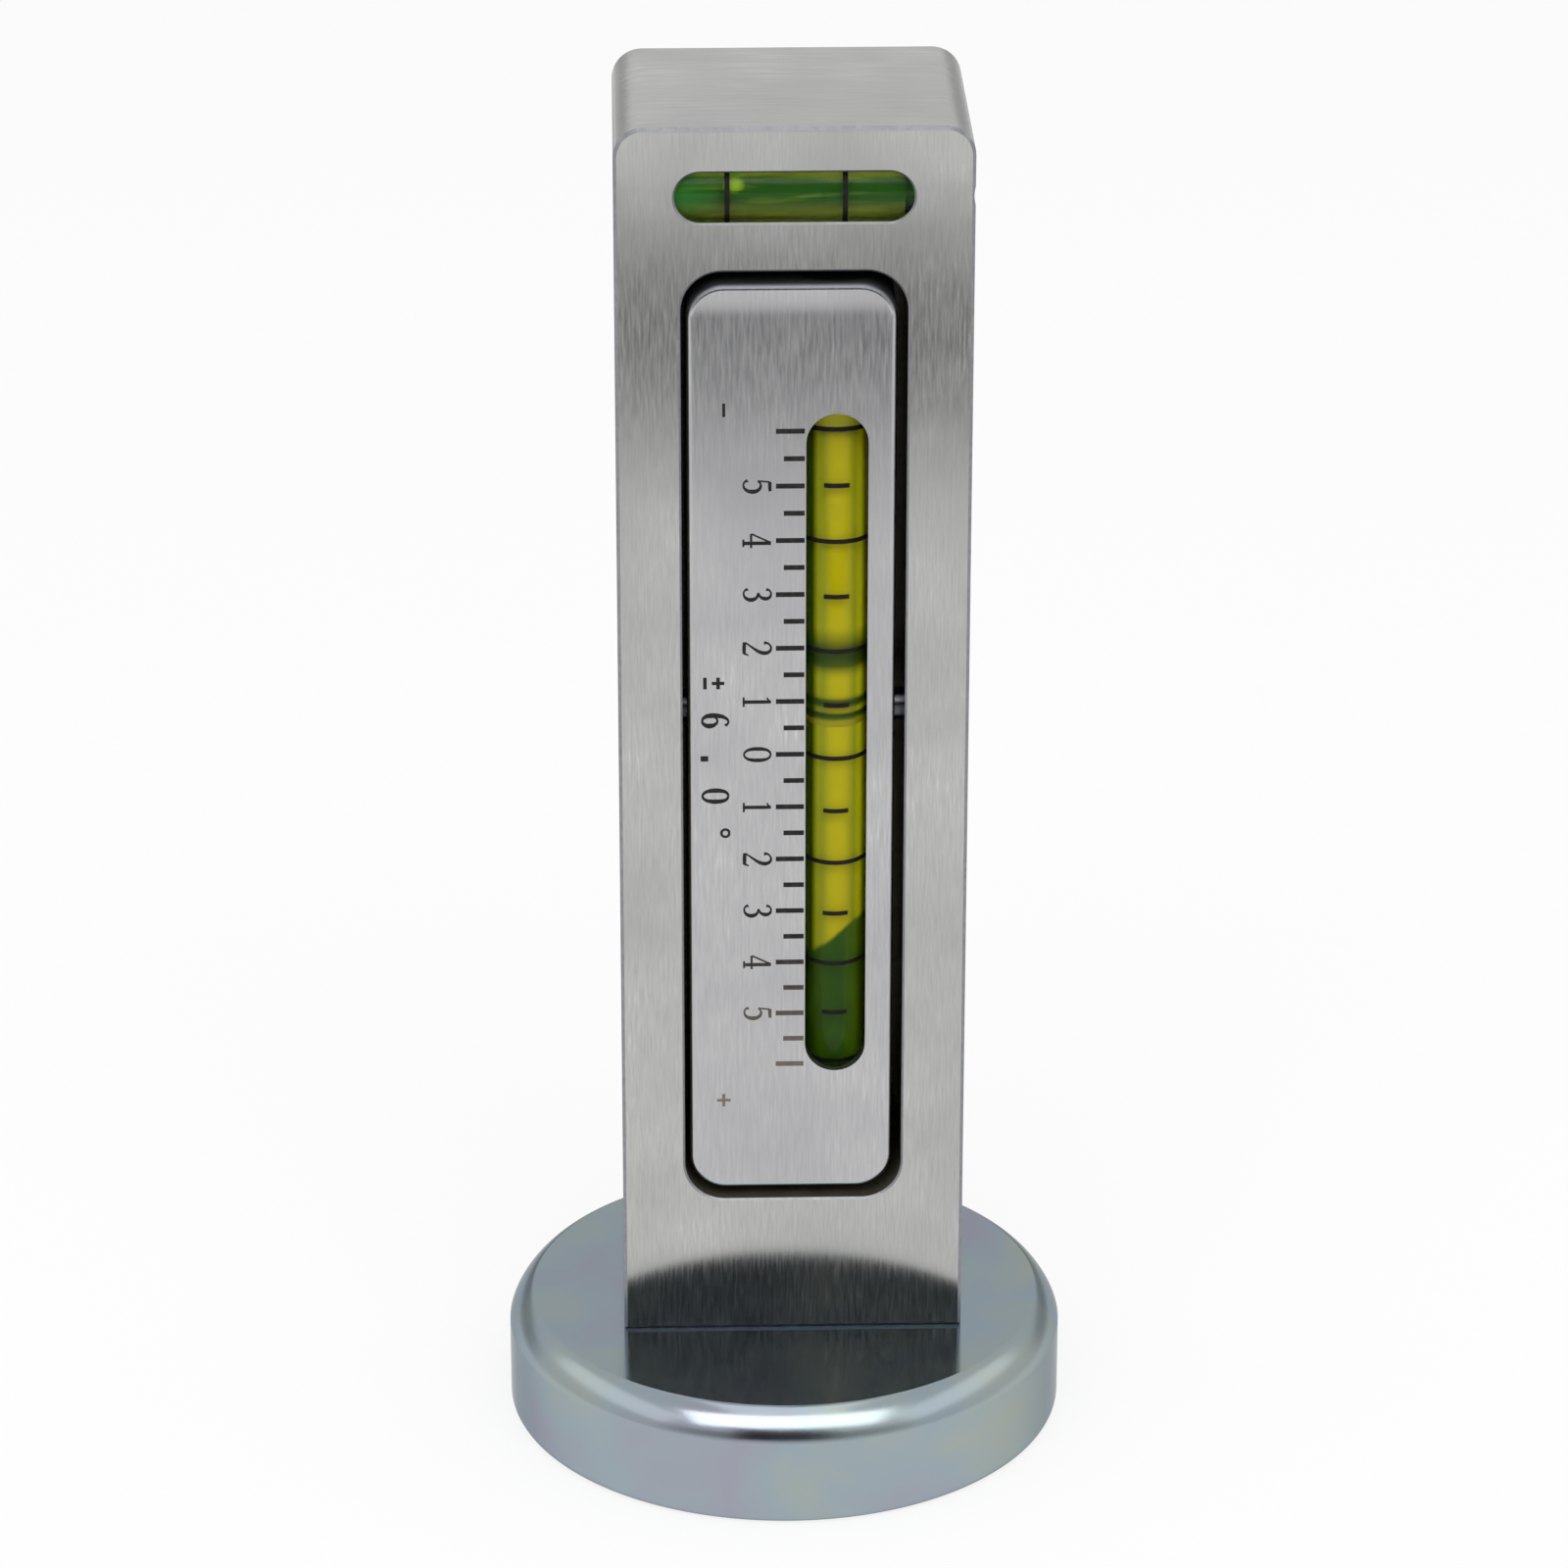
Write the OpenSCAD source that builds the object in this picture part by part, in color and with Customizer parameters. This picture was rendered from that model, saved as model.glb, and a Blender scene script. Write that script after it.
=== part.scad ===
// Camber and caster gauge: a milled aluminium bar on a round magnet foot.
// A tilting carrier in the bar's pocket holds a bent spirit vial that is read
// against a dial in degrees. A short cross vial in the head levels the bar.
// Millimetres, +Z up. The origin is the middle of the magnet's lower face,
// and the dial faces -Y.

/* [Magnet foot] */
// Outer diameter of the drawn steel cup
cup_d = 42; // [40:0.5:50]
// Height of the cup
cup_h = 9; // [8:0.25:12]
// Thickness of the cup's side wall
cup_wall = 2; // [1.4:0.1:3]
// Thickness of the cup's floor
cup_floor = 2.5; // [2.3:0.1:3.5]
// How far the drawn shoulder reaches in from the side of the cup
shoulder_in = 1.8; // [1:0.1:2.6]
// How far the drawn shoulder reaches down from the top of the cup
shoulder_down = 4.1; // [2:0.1:5.5]
// Inside radius between the cup's wall and its floor
cup_root_r = 0.8; // [0.4:0.1:1.2]
// Bore through the ferrite ring
ring_bore_d = 10.2; // [9.8:0.1:12]
// Glue gap round the ferrite ring
ring_gap = 0.2; // [0.1:0.05:0.4]

/* [Foot screw] */
// Diameter of the screw that holds the foot
foot_screw_d = 5; // [4:0.5:5.5]
// Head diameter of the foot screw
foot_head_d = 9.2; // [8.4:0.1:9.6]
// Width of the foot screw's six-sided key hole across its flats
foot_key = 3; // [2.5:0.5:3]
// Length of thread in the bar
foot_thread = 7.5; // [5:0.5:9]
// Tapped hole left past the end of the foot screw
tap_runout = 1; // [0.5:0.1:2]
// Solid bar left over the tapped hole
tap_web = 2.4; // [1.5:0.1:3]

/* [Bar] */
// Solid length of bar under the pocket
foot_h = 10.9; // [10:0.1:14]
// Solid length of bar over the pocket, which holds the cross vial
head_h = 10.55; // [10:0.05:14]
// Thickness of bar on each side of the pocket
side_wall = 4.65; // [4:0.05:6]
// Thickness of bar behind the pocket
back_wall = 6; // [5:0.25:8]
// Radius of the two upper corners of the bar
bar_corner_r = 2.2; // [1:0.1:4]
// Broken outer edges of the bar
edge_break = 0.25; // [0.1:0.05:0.5]
// Broken edge round each milled opening
mouth_break = 0.15; // [0.05:0.05:0.3]
// How far the bar stands to the right of the foot's middle
bar_right = 0.45; // [-1:0.05:1]
// How far the bar stands behind the foot's middle
bar_back = 3; // [1:0.1:3.5]

/* [Carrier] */
// Width of the carrier
carrier_w = 15; // [14:0.1:18]
// Corner radius of the carrier's face
carrier_corner_r = 2.7; // [1.5:0.1:3.5]
// Rounding of the carrier's front edge
carrier_edge_r = 0.5; // [0.2:0.1:0.8]
// How far the carrier's face lies below the bar's face
carrier_sunk = 0.15; // [0.05:0.05:0.3]
// Gap on the left of the carrier
gap_left = 0.38; // [0.2:0.02:0.8]
// Gap on the right of the carrier
gap_right = 0.72; // [0.4:0.02:1]
// Gap over the carrier
gap_top = 0.95; // [0.5:0.05:1.5]
// Gap under the carrier
gap_bottom = 0.8; // [0.5:0.05:1.5]
// Gap behind the carrier, which lets it tilt
gap_back = 1.35; // [1.2:0.05:2]
// How much larger the pocket's corner radius is than the carrier's
corner_gap = 0.3; // [0.1:0.05:0.6]

/* [Tilt] */
// Diameter of the pivot pin
pin_d = 2.4; // [2:0.1:3]
// Carrier metal between the vial's bore and the pivot's bore
pin_web = 0.58; // [0.4:0.02:1]
// Carrier metal behind the pivot's bore
pin_cover = 2.45; // [1.5:0.05:4]
// How far each end of the pin lies below the bar's side
pin_sunk = 0.3; // [0.1:0.1:0.6]
// Radial running clearance of the pin in the carrier
pin_running = 0.05; // [0.02:0.01:0.09]
// Radial clearance of the pin in the bar
pin_seat = 0.02; // [0.01:0.01:0.05]
// Distance of each adjusting screw from the pivot
adjuster_arm = 28; // [20:0.5:30]
// Diameter of the adjusting screws
adjuster_d = 4; // [3:0.5:5]
// Length of the adjusting screws
adjuster_len = 6; // [4.5:0.25:6]
// Width of each adjusting screw's six-sided key hole across its flats
adjuster_key = 2; // [1.5:0.5:2]
// Broken edge at the outer end of each adjusting screw
adjuster_break = 0.25; // [0.1:0.05:0.5]
// Gap between a screw's point and the carrier
adjuster_touch = 0.05; // [0.04:0.01:0.1]

/* [Dial] */
// Dial length of one degree
degree_len = 4.148; // [3.6:0.01:4.6]
// Degrees on each side of zero
dial_degrees = 6; // [4:1:7]
// Length of the degree marks
long_mark = 2.06; // [1.5:0.02:2.4]
// Length of the half-degree marks
short_mark = 1.5; // [1:0.02:1.5]
// Width of the marks
mark_w = 0.38; // [0.2:0.02:0.5]
// Depth of the marks
mark_deep = 0.12; // [0.05:0.01:0.2]
// Metal between the marks and the slot
mark_gap = 0.1; // [0.05:0.01:0.3]

/* [Camber vial] */
// Outer diameter of the bent tube
tube_d = 4.8; // [4.6:0.1:5.2]
// Wall of the bent tube
tube_wall = 0.6; // [0.4:0.05:0.8]
// Width of the slot that shows the vial
slot_w = 4.45; // [4:0.05:4.5]
// How much longer the slot is than the dial
slot_more = 1.87; // [1:0.01:2.5]
// Thickness of the lips beside the slot
slot_lip = 1.45; // [1:0.05:1.8]
// Free play round the tube in its bore
tube_play = 0.1; // [0.05:0.01:0.2]
// Length of the bubble
bubble_len = 7; // [5:0.25:9]
// Radial gap between the bubble and the wall of the tube
bubble_film = 0.2; // [0.1:0.05:0.4]
// Dial reading at which the bubble stands, negative towards the top
bubble_reading = -1.35; // [-3:0.05:3]
// Length of each tube plug
tube_plug_len = 2.5; // [1.5:0.1:3.5]
// Liquid past the bubble at the end of its travel
end_room = 0.7; // [0.4:0.05:1.5]
// Gap past each end of the tube
tube_end_gap = 0.3; // [0.1:0.05:0.6]
// Carrier metal under the tube's bore
end_web = 3.4; // [2:0.1:5]
// Carrier metal on the right of the tube's bore
side_web = 1; // [0.6:0.05:1.5]
// Length of the plug that closes the tube's bore
bore_plug_len = 3.88; // [2:0.02:6]
// How far each bore plug lies below the face it closes
plug_sunk = 0.2; // [0.1:0.05:0.4]

/* [Bedding] */
// How far the bedding reaches above the dial's zero
bedding_up = 27; // [20:0.5:28]
// How far the bedding reaches below the dial's zero, at its middle
bedding_down = 14.4; // [10:0.1:18]
// Slope of the bedding's broken lower end, in degrees
bedding_slope = 44; // [0:1:50]
// How far behind the tube's axis, at mid dial, the bedding starts
bedding_behind = 0.5; // [0.3:0.1:1.5]
// Gap round the bedding
bedding_gap = 0.05; // [0.03:0.01:0.1]

/* [Cross vial] */
// Outer diameter of the cross vial
cross_d = 4.6; // [4.3:0.1:5]
// Length of the cross vial
cross_len = 20; // [17:0.1:21]
// Greatest bore of the cross vial, at its middle
cross_bore_d = 3.2; // [2.9:0.05:3.4]
// Radius to which the cross vial's bore is ground along its length
cross_barrel_r = 115; // [90:5:200]
// Height of the window that shows the cross vial
window_h = 3.65; // [3.2:0.05:4]
// How much shorter the window is than the cross vial
window_less = 3.15; // [2:0.05:4]
// Thickness of the lips above and below the window
window_lip = 1.02; // [0.6:0.02:1.5]
// Distance of the cross vial from the top of the bar
cross_drop = 5.13; // [4.5:0.01:5.6]
// Bar left at the blind end of the cross vial's bore
cross_web = 1.95; // [1.5:0.05:2.5]
// Radial clearance of the cross vial in its bore
cross_play = 0.05; // [0.03:0.01:0.1]
// Length of each plug in the cross vial
cross_plug_len = 1.5; // [1:0.1:2.5]
// Length of the bubble in the cross vial
cross_bubble_len = 7.6; // [5:0.1:8]
// Diameter of the bubble in the cross vial
cross_bubble_d = 2.4; // [1.8:0.05:2.4]

/* [Hidden] */

// Facets of a true circle, of the tube's section, of an arc with the vial's long
// radius, and of a hulled corner.
$fn = 96;
tube_fn = 64;
arc_fn = 1440;
corner_fn = 48;
// Overrun of a cut, in millimetres and in degrees of bend, and the amount by which
// one cut stays clear of the wall of another.
over = 1;
over_deg = 0.5;
shy = 0.01;
// Radius of the hollow end of a liquid column over the radius of the bore it is in.
hollow_share = 1.2;

// Vial: one degree of dial is one degree of the tube's bend.
bend_r = degree_len * 180 / PI;
tube_r = tube_d / 2;
tube_bore_r = tube_r - tube_wall;
bubble_r = tube_bore_r - bubble_film;
half_travel = dial_degrees * degree_len;
liquid_deg = (half_travel + bubble_len / 2 + end_room) / degree_len;
tube_deg = liquid_deg + tube_plug_len / degree_len;
tube_half = bend_r * sin(tube_deg);
tube_sag = bend_r * (1 - cos(tube_deg));
tube_depth = slot_lip + sqrt(tube_r * tube_r - slot_w * slot_w / 4) + tube_play;
bore_reach = tube_depth + tube_sag + tube_r + tube_play - slot_lip;
tube_bore_seat_r = (bore_reach * bore_reach + slot_w * slot_w / 4) / (2 * bore_reach);
bore_depth = slot_lip + sqrt(pow(tube_bore_seat_r, 2) - slot_w * slot_w / 4);

// Carrier and pocket.
pin_r = pin_d / 2;
pin_depth = bore_depth + tube_bore_seat_r + pin_web + pin_r;
carrier_t = pin_depth + pin_r + pin_cover;
carrier_len = end_web + 2 * tube_end_gap + 2 * tube_half + bore_plug_len + plug_sunk;
pocket_w = gap_left + carrier_w + gap_right;
pocket_len = gap_bottom + carrier_len + gap_top;
pocket_deep = carrier_sunk + carrier_t + gap_back;
pocket_r = carrier_corner_r + corner_gap;

// Bar.
bar_w = pocket_w + 2 * side_wall;
bar_d = pocket_deep + back_wall;
bar_h = foot_h + pocket_len + head_h;
front_y = bar_back - bar_d / 2;
back_y = bar_back + bar_d / 2;
left_x = bar_right - bar_w / 2;
right_x = bar_right + bar_w / 2;
top_z = cup_h + bar_h;
pocket_z = cup_h + foot_h;

// Places on the carrier.
face_y = front_y + carrier_sunk;
carrier_back_y = face_y + carrier_t;
carrier_x = left_x + side_wall + gap_left + carrier_w / 2;
carrier_z = pocket_z + gap_bottom;
carrier_mid_z = carrier_z + carrier_len / 2;
dial_z = carrier_z + end_web + tube_end_gap + tube_half;
vial_x = carrier_x + carrier_w / 2 - side_web - tube_bore_seat_r;
vial_y = face_y + tube_depth;
bore_y = face_y + bore_depth;
pin_y = face_y + pin_depth;
slot_len = 2 * half_travel + slot_more;

// Cross vial.
cross_r = cross_d / 2;
cross_seat_r = cross_r + cross_play;
cross_y = front_y + window_lip + sqrt(pow(cross_seat_r, 2) - window_h * window_h / 4);
cross_z = top_z - cross_drop;
cross_left_x = left_x + cross_web;
cross_x = cross_left_x + cross_play + cross_len / 2;
cross_half = cross_len / 2 - cross_plug_len;
window_len = cross_len - window_less;

// Foot.
cup_r = cup_d / 2;
ring_t = cup_h - cup_floor;
foot_r = foot_screw_d / 2;
foot_head_r = foot_head_d / 2;
thread_play = 0.05;
foot_tap = min(foot_thread + tap_runout, foot_h - tap_web);

steel_zinc = "#a4b0b4";
ferrite = "#2b2b2d";
bar_metal = "#bdbdb9";
carrier_metal = "#c6c6c6";
screw_black = "#35373a";
pin_steel = "#8f9295";
clear_green = [0.62, 0.66, 0.16, 0.45];
plug_green = "#7d8a2a";
dye = [0.70, 0.68, 0.10, 0.85];
dye_dark = [0.18, 0.42, 0.14, 0.85];
air = [0.90, 0.92, 0.62, 0.6];
plaster = "#e8e2c4";

// Flat shapes, with X across and Y along.
module rounded_rect(w, l, r) {
    square([w - 2 * r, l], center = true);
    square([w, l - 2 * r], center = true);
    for (sx = [-1, 1], sy = [-1, 1])
        translate([sx * (w / 2 - r), sy * (l / 2 - r)])
            circle(r = r);
}

module stadium(w, l) {
    square([w, l - w], center = true);
    for (s = [-1, 1])
        translate([0, s * (l / 2 - w / 2)])
            circle(r = w / 2);
}

// Stands a flat shape up in XZ and gives it depth from y0 to y1.
module deep(y0, y1) {
    translate([0, y1, 0])
        rotate([90, 0, 0])
            linear_extrude(y1 - y0)
                children();
}

// Cut for the broken edge of an opening in the face at y. The first child is the
// opening's outline at the face and the second is its outline behind the break.
module broken_mouth(y) {
    hull() {
        deep(y - mouth_break, y)
            children(0);
        deep(y, y + mouth_break)
            children(1);
    }
}

// Bar section, with round upper corners, drawn in by an inset.
module bar_section(inset) {
    r = bar_corner_r - inset;
    square_w = bar_w - 2 * inset;
    translate([-square_w / 2, inset])
        square([square_w, bar_h - 2 * inset - r]);
    for (s = [-1, 1])
        translate([s * (square_w / 2 - r), bar_h - inset - r])
            circle(r = r, $fn = corner_fn);
}

// Cylinder along X from x0 to x1, about the axis at y, z.
module rod_x(r, x0, x1, y, z) {
    translate([x0, y, z])
        rotate([0, 90, 0])
            cylinder(h = x1 - x0, r = r);
}

// Cylinder along Y from y0 to y1, about the axis at x, z.
module rod_y(r, y0, y1, x, z) {
    translate([x, y1, z])
        rotate([90, 0, 0])
            cylinder(h = y1 - y0, r = r);
}

// Carries a part about the centre of the vial's bend. Zero degrees is the dial's
// zero and more degrees lie lower on the dial.
module about_bend(deg) {
    translate([vial_x, vial_y + bend_r, dial_z])
        rotate([-90, 0, 0])
            rotate([0, 90, 0])
                rotate([0, 0, deg])
                    children();
}

// Bent rod along the vial from one dial reading to another.
module bent_rod(r, from, to) {
    about_bend(from)
        rotate_extrude(angle = to - from, $fn = arc_fn)
            translate([bend_r, 0])
                circle(r = r, $fn = tube_fn);
}

// Points of a superellipse quarter from (a, 0) to (0, b).
function quarter(a, b, n, steps) =
    [for (i = [0:steps]) let (t = 90 * i / steps)
        [a * pow(cos(t), 2 / n), b * pow(sin(t), 2 / n)]];

module magnet_cup() {
    fullness = 1.5;
    steps = 14;
    cavity_r = cup_r - cup_wall;
    color(steel_zinc)
        difference() {
            rotate_extrude()
                polygon(concat(
                    [[0, 0], [cup_r, 0]],
                    [for (p = quarter(shoulder_in, shoulder_down, fullness, steps))
                        [cup_r - shoulder_in + p[0], cup_h - shoulder_down + p[1]]],
                    [[0, cup_h]]));
            rotate_extrude()
                polygon(concat(
                    [[0, -over], [cavity_r, -over]],
                    [for (p = quarter(cup_root_r, cup_root_r, 2, steps / 2))
                        [cavity_r - cup_root_r + p[0], ring_t - cup_root_r + p[1]]],
                    [[0, ring_t]]));
            cylinder(h = cup_h + over, r = foot_r + thread_play);
            translate([0, 0, ring_t - shy])
                cylinder(h = foot_head_r - foot_r + shy, r1 = foot_head_r + thread_play,
                         r2 = foot_r + thread_play);
        }
}

module magnet_ring() {
    ring_r = cup_r - cup_wall - ring_gap;
    chamfer = cup_root_r + ring_gap;
    color(ferrite)
        rotate_extrude()
            polygon([[ring_bore_d / 2, 0], [ring_r, 0], [ring_r, ring_t - chamfer],
                     [ring_r - chamfer, ring_t], [ring_bore_d / 2, ring_t]]);
}

module foot_screw() {
    cone_h = foot_head_r - foot_r;
    color(screw_black)
        translate([0, 0, ring_t])
            difference() {
                union() {
                    cylinder(h = cone_h, r1 = foot_head_r, r2 = foot_r);
                    cylinder(h = cup_floor + foot_tap - tap_runout, r = foot_r);
                }
                translate([0, 0, -over])
                    cylinder(h = over + cone_h, r = foot_key / sqrt(3), $fn = 6);
            }
}

module gauge_bar() {
    color(bar_metal)
        difference() {
            hull()
                for (inset = [0, edge_break])
                    translate([bar_right, 0, cup_h])
                        deep(front_y + edge_break - inset, back_y - edge_break + inset)
                            bar_section(inset);
            translate([bar_right, 0, pocket_z + pocket_len / 2]) {
                deep(front_y - over, front_y + pocket_deep)
                    rounded_rect(pocket_w, pocket_len, pocket_r);
                broken_mouth(front_y, $fn = corner_fn) {
                    rounded_rect(pocket_w + 2 * mouth_break, pocket_len + 2 * mouth_break,
                                 pocket_r + mouth_break);
                    rounded_rect(pocket_w - shy, pocket_len - shy, pocket_r - shy);
                }
            }
            translate([bar_right, 0, cross_z]) {
                deep(front_y - over, cross_y)
                    rotate(90)
                        stadium(window_h, window_len);
                broken_mouth(front_y, $fn = corner_fn) {
                    rotate(90)
                        stadium(window_h + 2 * mouth_break, window_len + 2 * mouth_break);
                    rotate(90)
                        stadium(window_h - shy, window_len - shy);
                }
            }
            rod_x(cross_seat_r, cross_left_x, right_x + over, cross_y, cross_z);
            rod_x(pin_r + pin_seat, left_x - over, right_x + over, pin_y, carrier_mid_z);
            for (s = [-1, 1])
                rod_y(adjuster_d / 2 + thread_play, front_y + pocket_deep - over, back_y + over,
                      bar_right, carrier_mid_z + s * adjuster_arm);
            translate([0, 0, cup_h - over])
                cylinder(h = over + foot_tap, r = foot_r + thread_play);
        }
}

module pivot_pin() {
    color(pin_steel)
        rod_x(pin_r, left_x + pin_sunk, right_x - pin_sunk, pin_y, carrier_mid_z);
}

module vial_carrier() {
    color(carrier_metal)
        difference() {
            hull()
                for (a = [0:22.5:90])
                    carrier_block(face_y + carrier_edge_r * (1 - cos(a)), carrier_edge_r * (1 - sin(a)));
            translate([vial_x, 0, carrier_mid_z])
                deep(face_y - over, bore_y)
                    stadium(slot_w, slot_len);
            translate([vial_x, bore_y, dial_z - tube_half - tube_end_gap])
                cylinder(h = carrier_len, r = tube_bore_seat_r);
            rod_x(pin_r + pin_running, carrier_x - carrier_w, carrier_x + carrier_w, pin_y,
                  carrier_mid_z);
            dial_marks();
        }
}

// The carrier's block from depth y to its back, drawn in by an inset.
module carrier_block(y, inset) {
    translate([carrier_x, 0, carrier_mid_z])
        deep(y, carrier_back_y)
            rounded_rect(carrier_w - 2 * inset, carrier_len - 2 * inset, carrier_corner_r - inset,
                         $fn = corner_fn);
}

// Cuts for the marks: a long one each degree and a short one each half degree.
module dial_marks() {
    marks_x = vial_x - slot_w / 2 - mark_gap;
    for (half = [-2 * dial_degrees:2 * dial_degrees]) {
        mark_len = half % 2 == 0 ? long_mark : short_mark;
        translate([marks_x - mark_len, face_y - over, dial_z + half * degree_len / 2 - mark_w / 2])
            cube([mark_len, over + mark_deep, mark_w]);
    }
}

module carrier_bore_plug() {
    color(carrier_metal)
        translate([vial_x, bore_y, carrier_z + carrier_len - plug_sunk - bore_plug_len])
            cylinder(h = bore_plug_len, r = tube_bore_seat_r - thread_play);
}

// Set screw along Y: a blunt point against the carrier and a six-sided key hole behind.
module adjuster_screw(side) {
    r = adjuster_d / 2;
    point_r = r / 2;
    start_y = carrier_back_y + adjuster_touch;
    color(screw_black)
        difference() {
            translate([bar_right, start_y, carrier_mid_z + side * adjuster_arm])
                rotate([-90, 0, 0])
                    rotate_extrude()
                        polygon([[0, 0], [point_r, 0], [r, point_r],
                                 [r, adjuster_len - adjuster_break],
                                 [r - adjuster_break, adjuster_len], [0, adjuster_len]]);
            translate([bar_right, start_y + adjuster_len / 2, carrier_mid_z + side * adjuster_arm])
                rotate([-90, 0, 0])
                    cylinder(h = adjuster_len, r = adjuster_key / sqrt(3), $fn = 6);
        }
}

module adjuster_screw_upper() {
    adjuster_screw(1);
}

module adjuster_screw_lower() {
    adjuster_screw(-1);
}

module camber_tube() {
    color(clear_green)
        difference() {
            bent_rod(tube_r, -tube_deg, tube_deg);
            bent_rod(tube_bore_r, -tube_deg - over_deg, tube_deg + over_deg);
        }
}

module camber_plug_upper() {
    color(plug_green)
        bent_rod(tube_bore_r - thread_play, -tube_deg, -liquid_deg);
}

module camber_plug_lower() {
    color(plug_green)
        bent_rod(tube_bore_r - thread_play, liquid_deg, tube_deg);
}

// The liquid stands above and below the bubble, each column with a hollow end.
module camber_liquid() {
    cap_r = tube_bore_r * hollow_share;
    half_deg = bubble_len / 2 / degree_len;
    color(dye)
        difference() {
            bent_rod(tube_bore_r - thread_play, -liquid_deg, liquid_deg);
            bent_rod(cap_r, bubble_reading - half_deg + cap_r / degree_len,
                     bubble_reading + half_deg - cap_r / degree_len);
            for (s = [-1, 1])
                about_bend(bubble_reading + s * (half_deg - (cap_r - 2 * thread_play) / degree_len))
                    translate([bend_r, 0, 0])
                        sphere(r = cap_r);
        }
}

module camber_bubble() {
    color(air)
        about_bend(bubble_reading)
            translate([bend_r, 0, 0])
                rotate([90, 0, 0])
                    bubble(bubble_len, bubble_r);
}

// A bubble along Z: straight sides and round ends.
module bubble(len, r) {
    cylinder(h = len - 2 * r, r = r, center = true);
    for (s = [-1, 1])
        translate([0, 0, s * (len / 2 - r)])
            sphere(r = r);
}

// Plaster poured behind the tube, which ends in a sloping broken edge.
module camber_bedding() {
    reach = 2 * tube_bore_seat_r;
    front = tube_depth + bedding_behind;
    color(plaster)
        difference() {
            intersection() {
                translate([vial_x, bore_y, dial_z - 2 * bedding_down])
                    cylinder(h = 2 * bedding_down + bedding_up, r = tube_bore_seat_r - bedding_gap);
                translate([vial_x - reach, face_y + front, dial_z - 2 * bedding_down])
                    cube([2 * reach, 2 * reach, 2 * bedding_down + bedding_up]);
            }
            bent_rod(tube_r + bedding_gap, -tube_deg, tube_deg);
            translate([vial_x, bore_y, dial_z - bedding_down])
                rotate([0, -bedding_slope, 0])
                    translate([-2 * reach, -reach, -2 * bedding_down])
                        cube([4 * reach, 2 * reach, 2 * bedding_down]);
        }
}

// Straight vial whose bore is ground to a barrel, widest at the middle.
module barrel(half, r) {
    steps = 12;
    rotate([0, 90, 0])
        rotate_extrude()
            polygon(concat(
                [[0, -half]],
                [for (i = [-steps:steps]) let (x = half * i / steps)
                    [r - x * x / (2 * cross_barrel_r), x]],
                [[0, half]]));
}

module cross_tube() {
    color(clear_green)
        difference() {
            rod_x(cross_r, cross_x - cross_len / 2, cross_x + cross_len / 2, cross_y, cross_z);
            translate([cross_x, cross_y, cross_z])
                barrel(cross_len / 2, cross_bore_d / 2);
        }
}

module cross_plug(side) {
    plug_r = cross_bore_d / 2 - pow(cross_len / 2, 2) / (2 * cross_barrel_r) - thread_play / 2;
    inner_x = cross_x + side * cross_half;
    outer_x = cross_x + side * cross_len / 2;
    color(plug_green)
        rod_x(plug_r, min(inner_x, outer_x), max(inner_x, outer_x), cross_y, cross_z);
}

module cross_plug_left() {
    cross_plug(-1);
}

module cross_plug_right() {
    cross_plug(1);
}

module cross_liquid() {
    cap_r = cross_bore_d / 2 * hollow_share;
    half = cross_bubble_len / 2;
    color(dye_dark)
        translate([cross_x, cross_y, cross_z])
            difference() {
                barrel(cross_half, cross_bore_d / 2 - thread_play);
                rotate([0, 90, 0])
                    cylinder(h = 2 * (half - cap_r), r = cap_r, center = true);
                for (s = [-1, 1])
                    translate([s * (half - cap_r + 2 * thread_play), 0, 0])
                        sphere(r = cap_r);
            }
}

module cross_bubble() {
    color(air)
        translate([cross_x, cross_y, cross_z])
            rotate([0, 90, 0])
                bubble(cross_bubble_len, cross_bubble_d / 2);
}

module cross_bore_plug() {
    color(bar_metal)
        rod_x(cross_seat_r - thread_play, cross_x + cross_len / 2 + tube_end_gap,
              right_x - plug_sunk, cross_y, cross_z);
}

magnet_cup();
magnet_ring();
foot_screw();
gauge_bar();
pivot_pin();
vial_carrier();
carrier_bore_plug();
adjuster_screw_upper();
adjuster_screw_lower();
camber_tube();
camber_plug_upper();
camber_plug_lower();
camber_liquid();
camber_bubble();
camber_bedding();
cross_tube();
cross_plug_left();
cross_plug_right();
cross_liquid();
cross_bubble();
cross_bore_plug();
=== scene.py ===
"""Camber and caster gauge, dressed for its pictures.

A brushed aluminium bar stands on a zinc-plated magnet foot. A carrier in the bar's
pocket holds a bent vial of yellow-green spirit behind a slot, beside a dial in
degrees, and a short cross vial lies behind a window in the bar's head.

Sizes are written in millimetres and turned to metres where a mesh is made. The
packed gauge gives the frame: +Z up, -Y out of the dial.
"""

import logging
import math
from collections.abc import Callable, Iterable, Sequence
from dataclasses import dataclass, field
from enum import Enum

import bmesh
import bpy
from mathutils import Matrix, Vector


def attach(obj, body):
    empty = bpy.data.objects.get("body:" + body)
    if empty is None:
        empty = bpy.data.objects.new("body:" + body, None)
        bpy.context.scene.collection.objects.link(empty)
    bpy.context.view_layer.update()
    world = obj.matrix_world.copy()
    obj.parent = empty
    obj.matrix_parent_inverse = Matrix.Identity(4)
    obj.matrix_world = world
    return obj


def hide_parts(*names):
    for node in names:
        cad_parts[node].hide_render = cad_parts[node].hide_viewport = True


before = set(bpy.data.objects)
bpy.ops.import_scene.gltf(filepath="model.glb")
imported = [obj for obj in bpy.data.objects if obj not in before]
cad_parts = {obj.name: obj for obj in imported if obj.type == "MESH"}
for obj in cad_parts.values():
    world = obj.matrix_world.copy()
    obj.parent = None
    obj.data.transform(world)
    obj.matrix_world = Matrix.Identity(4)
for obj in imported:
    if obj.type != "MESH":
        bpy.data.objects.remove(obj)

LOG = logging.getLogger("camber_gauge")
MM = 0.001
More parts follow.
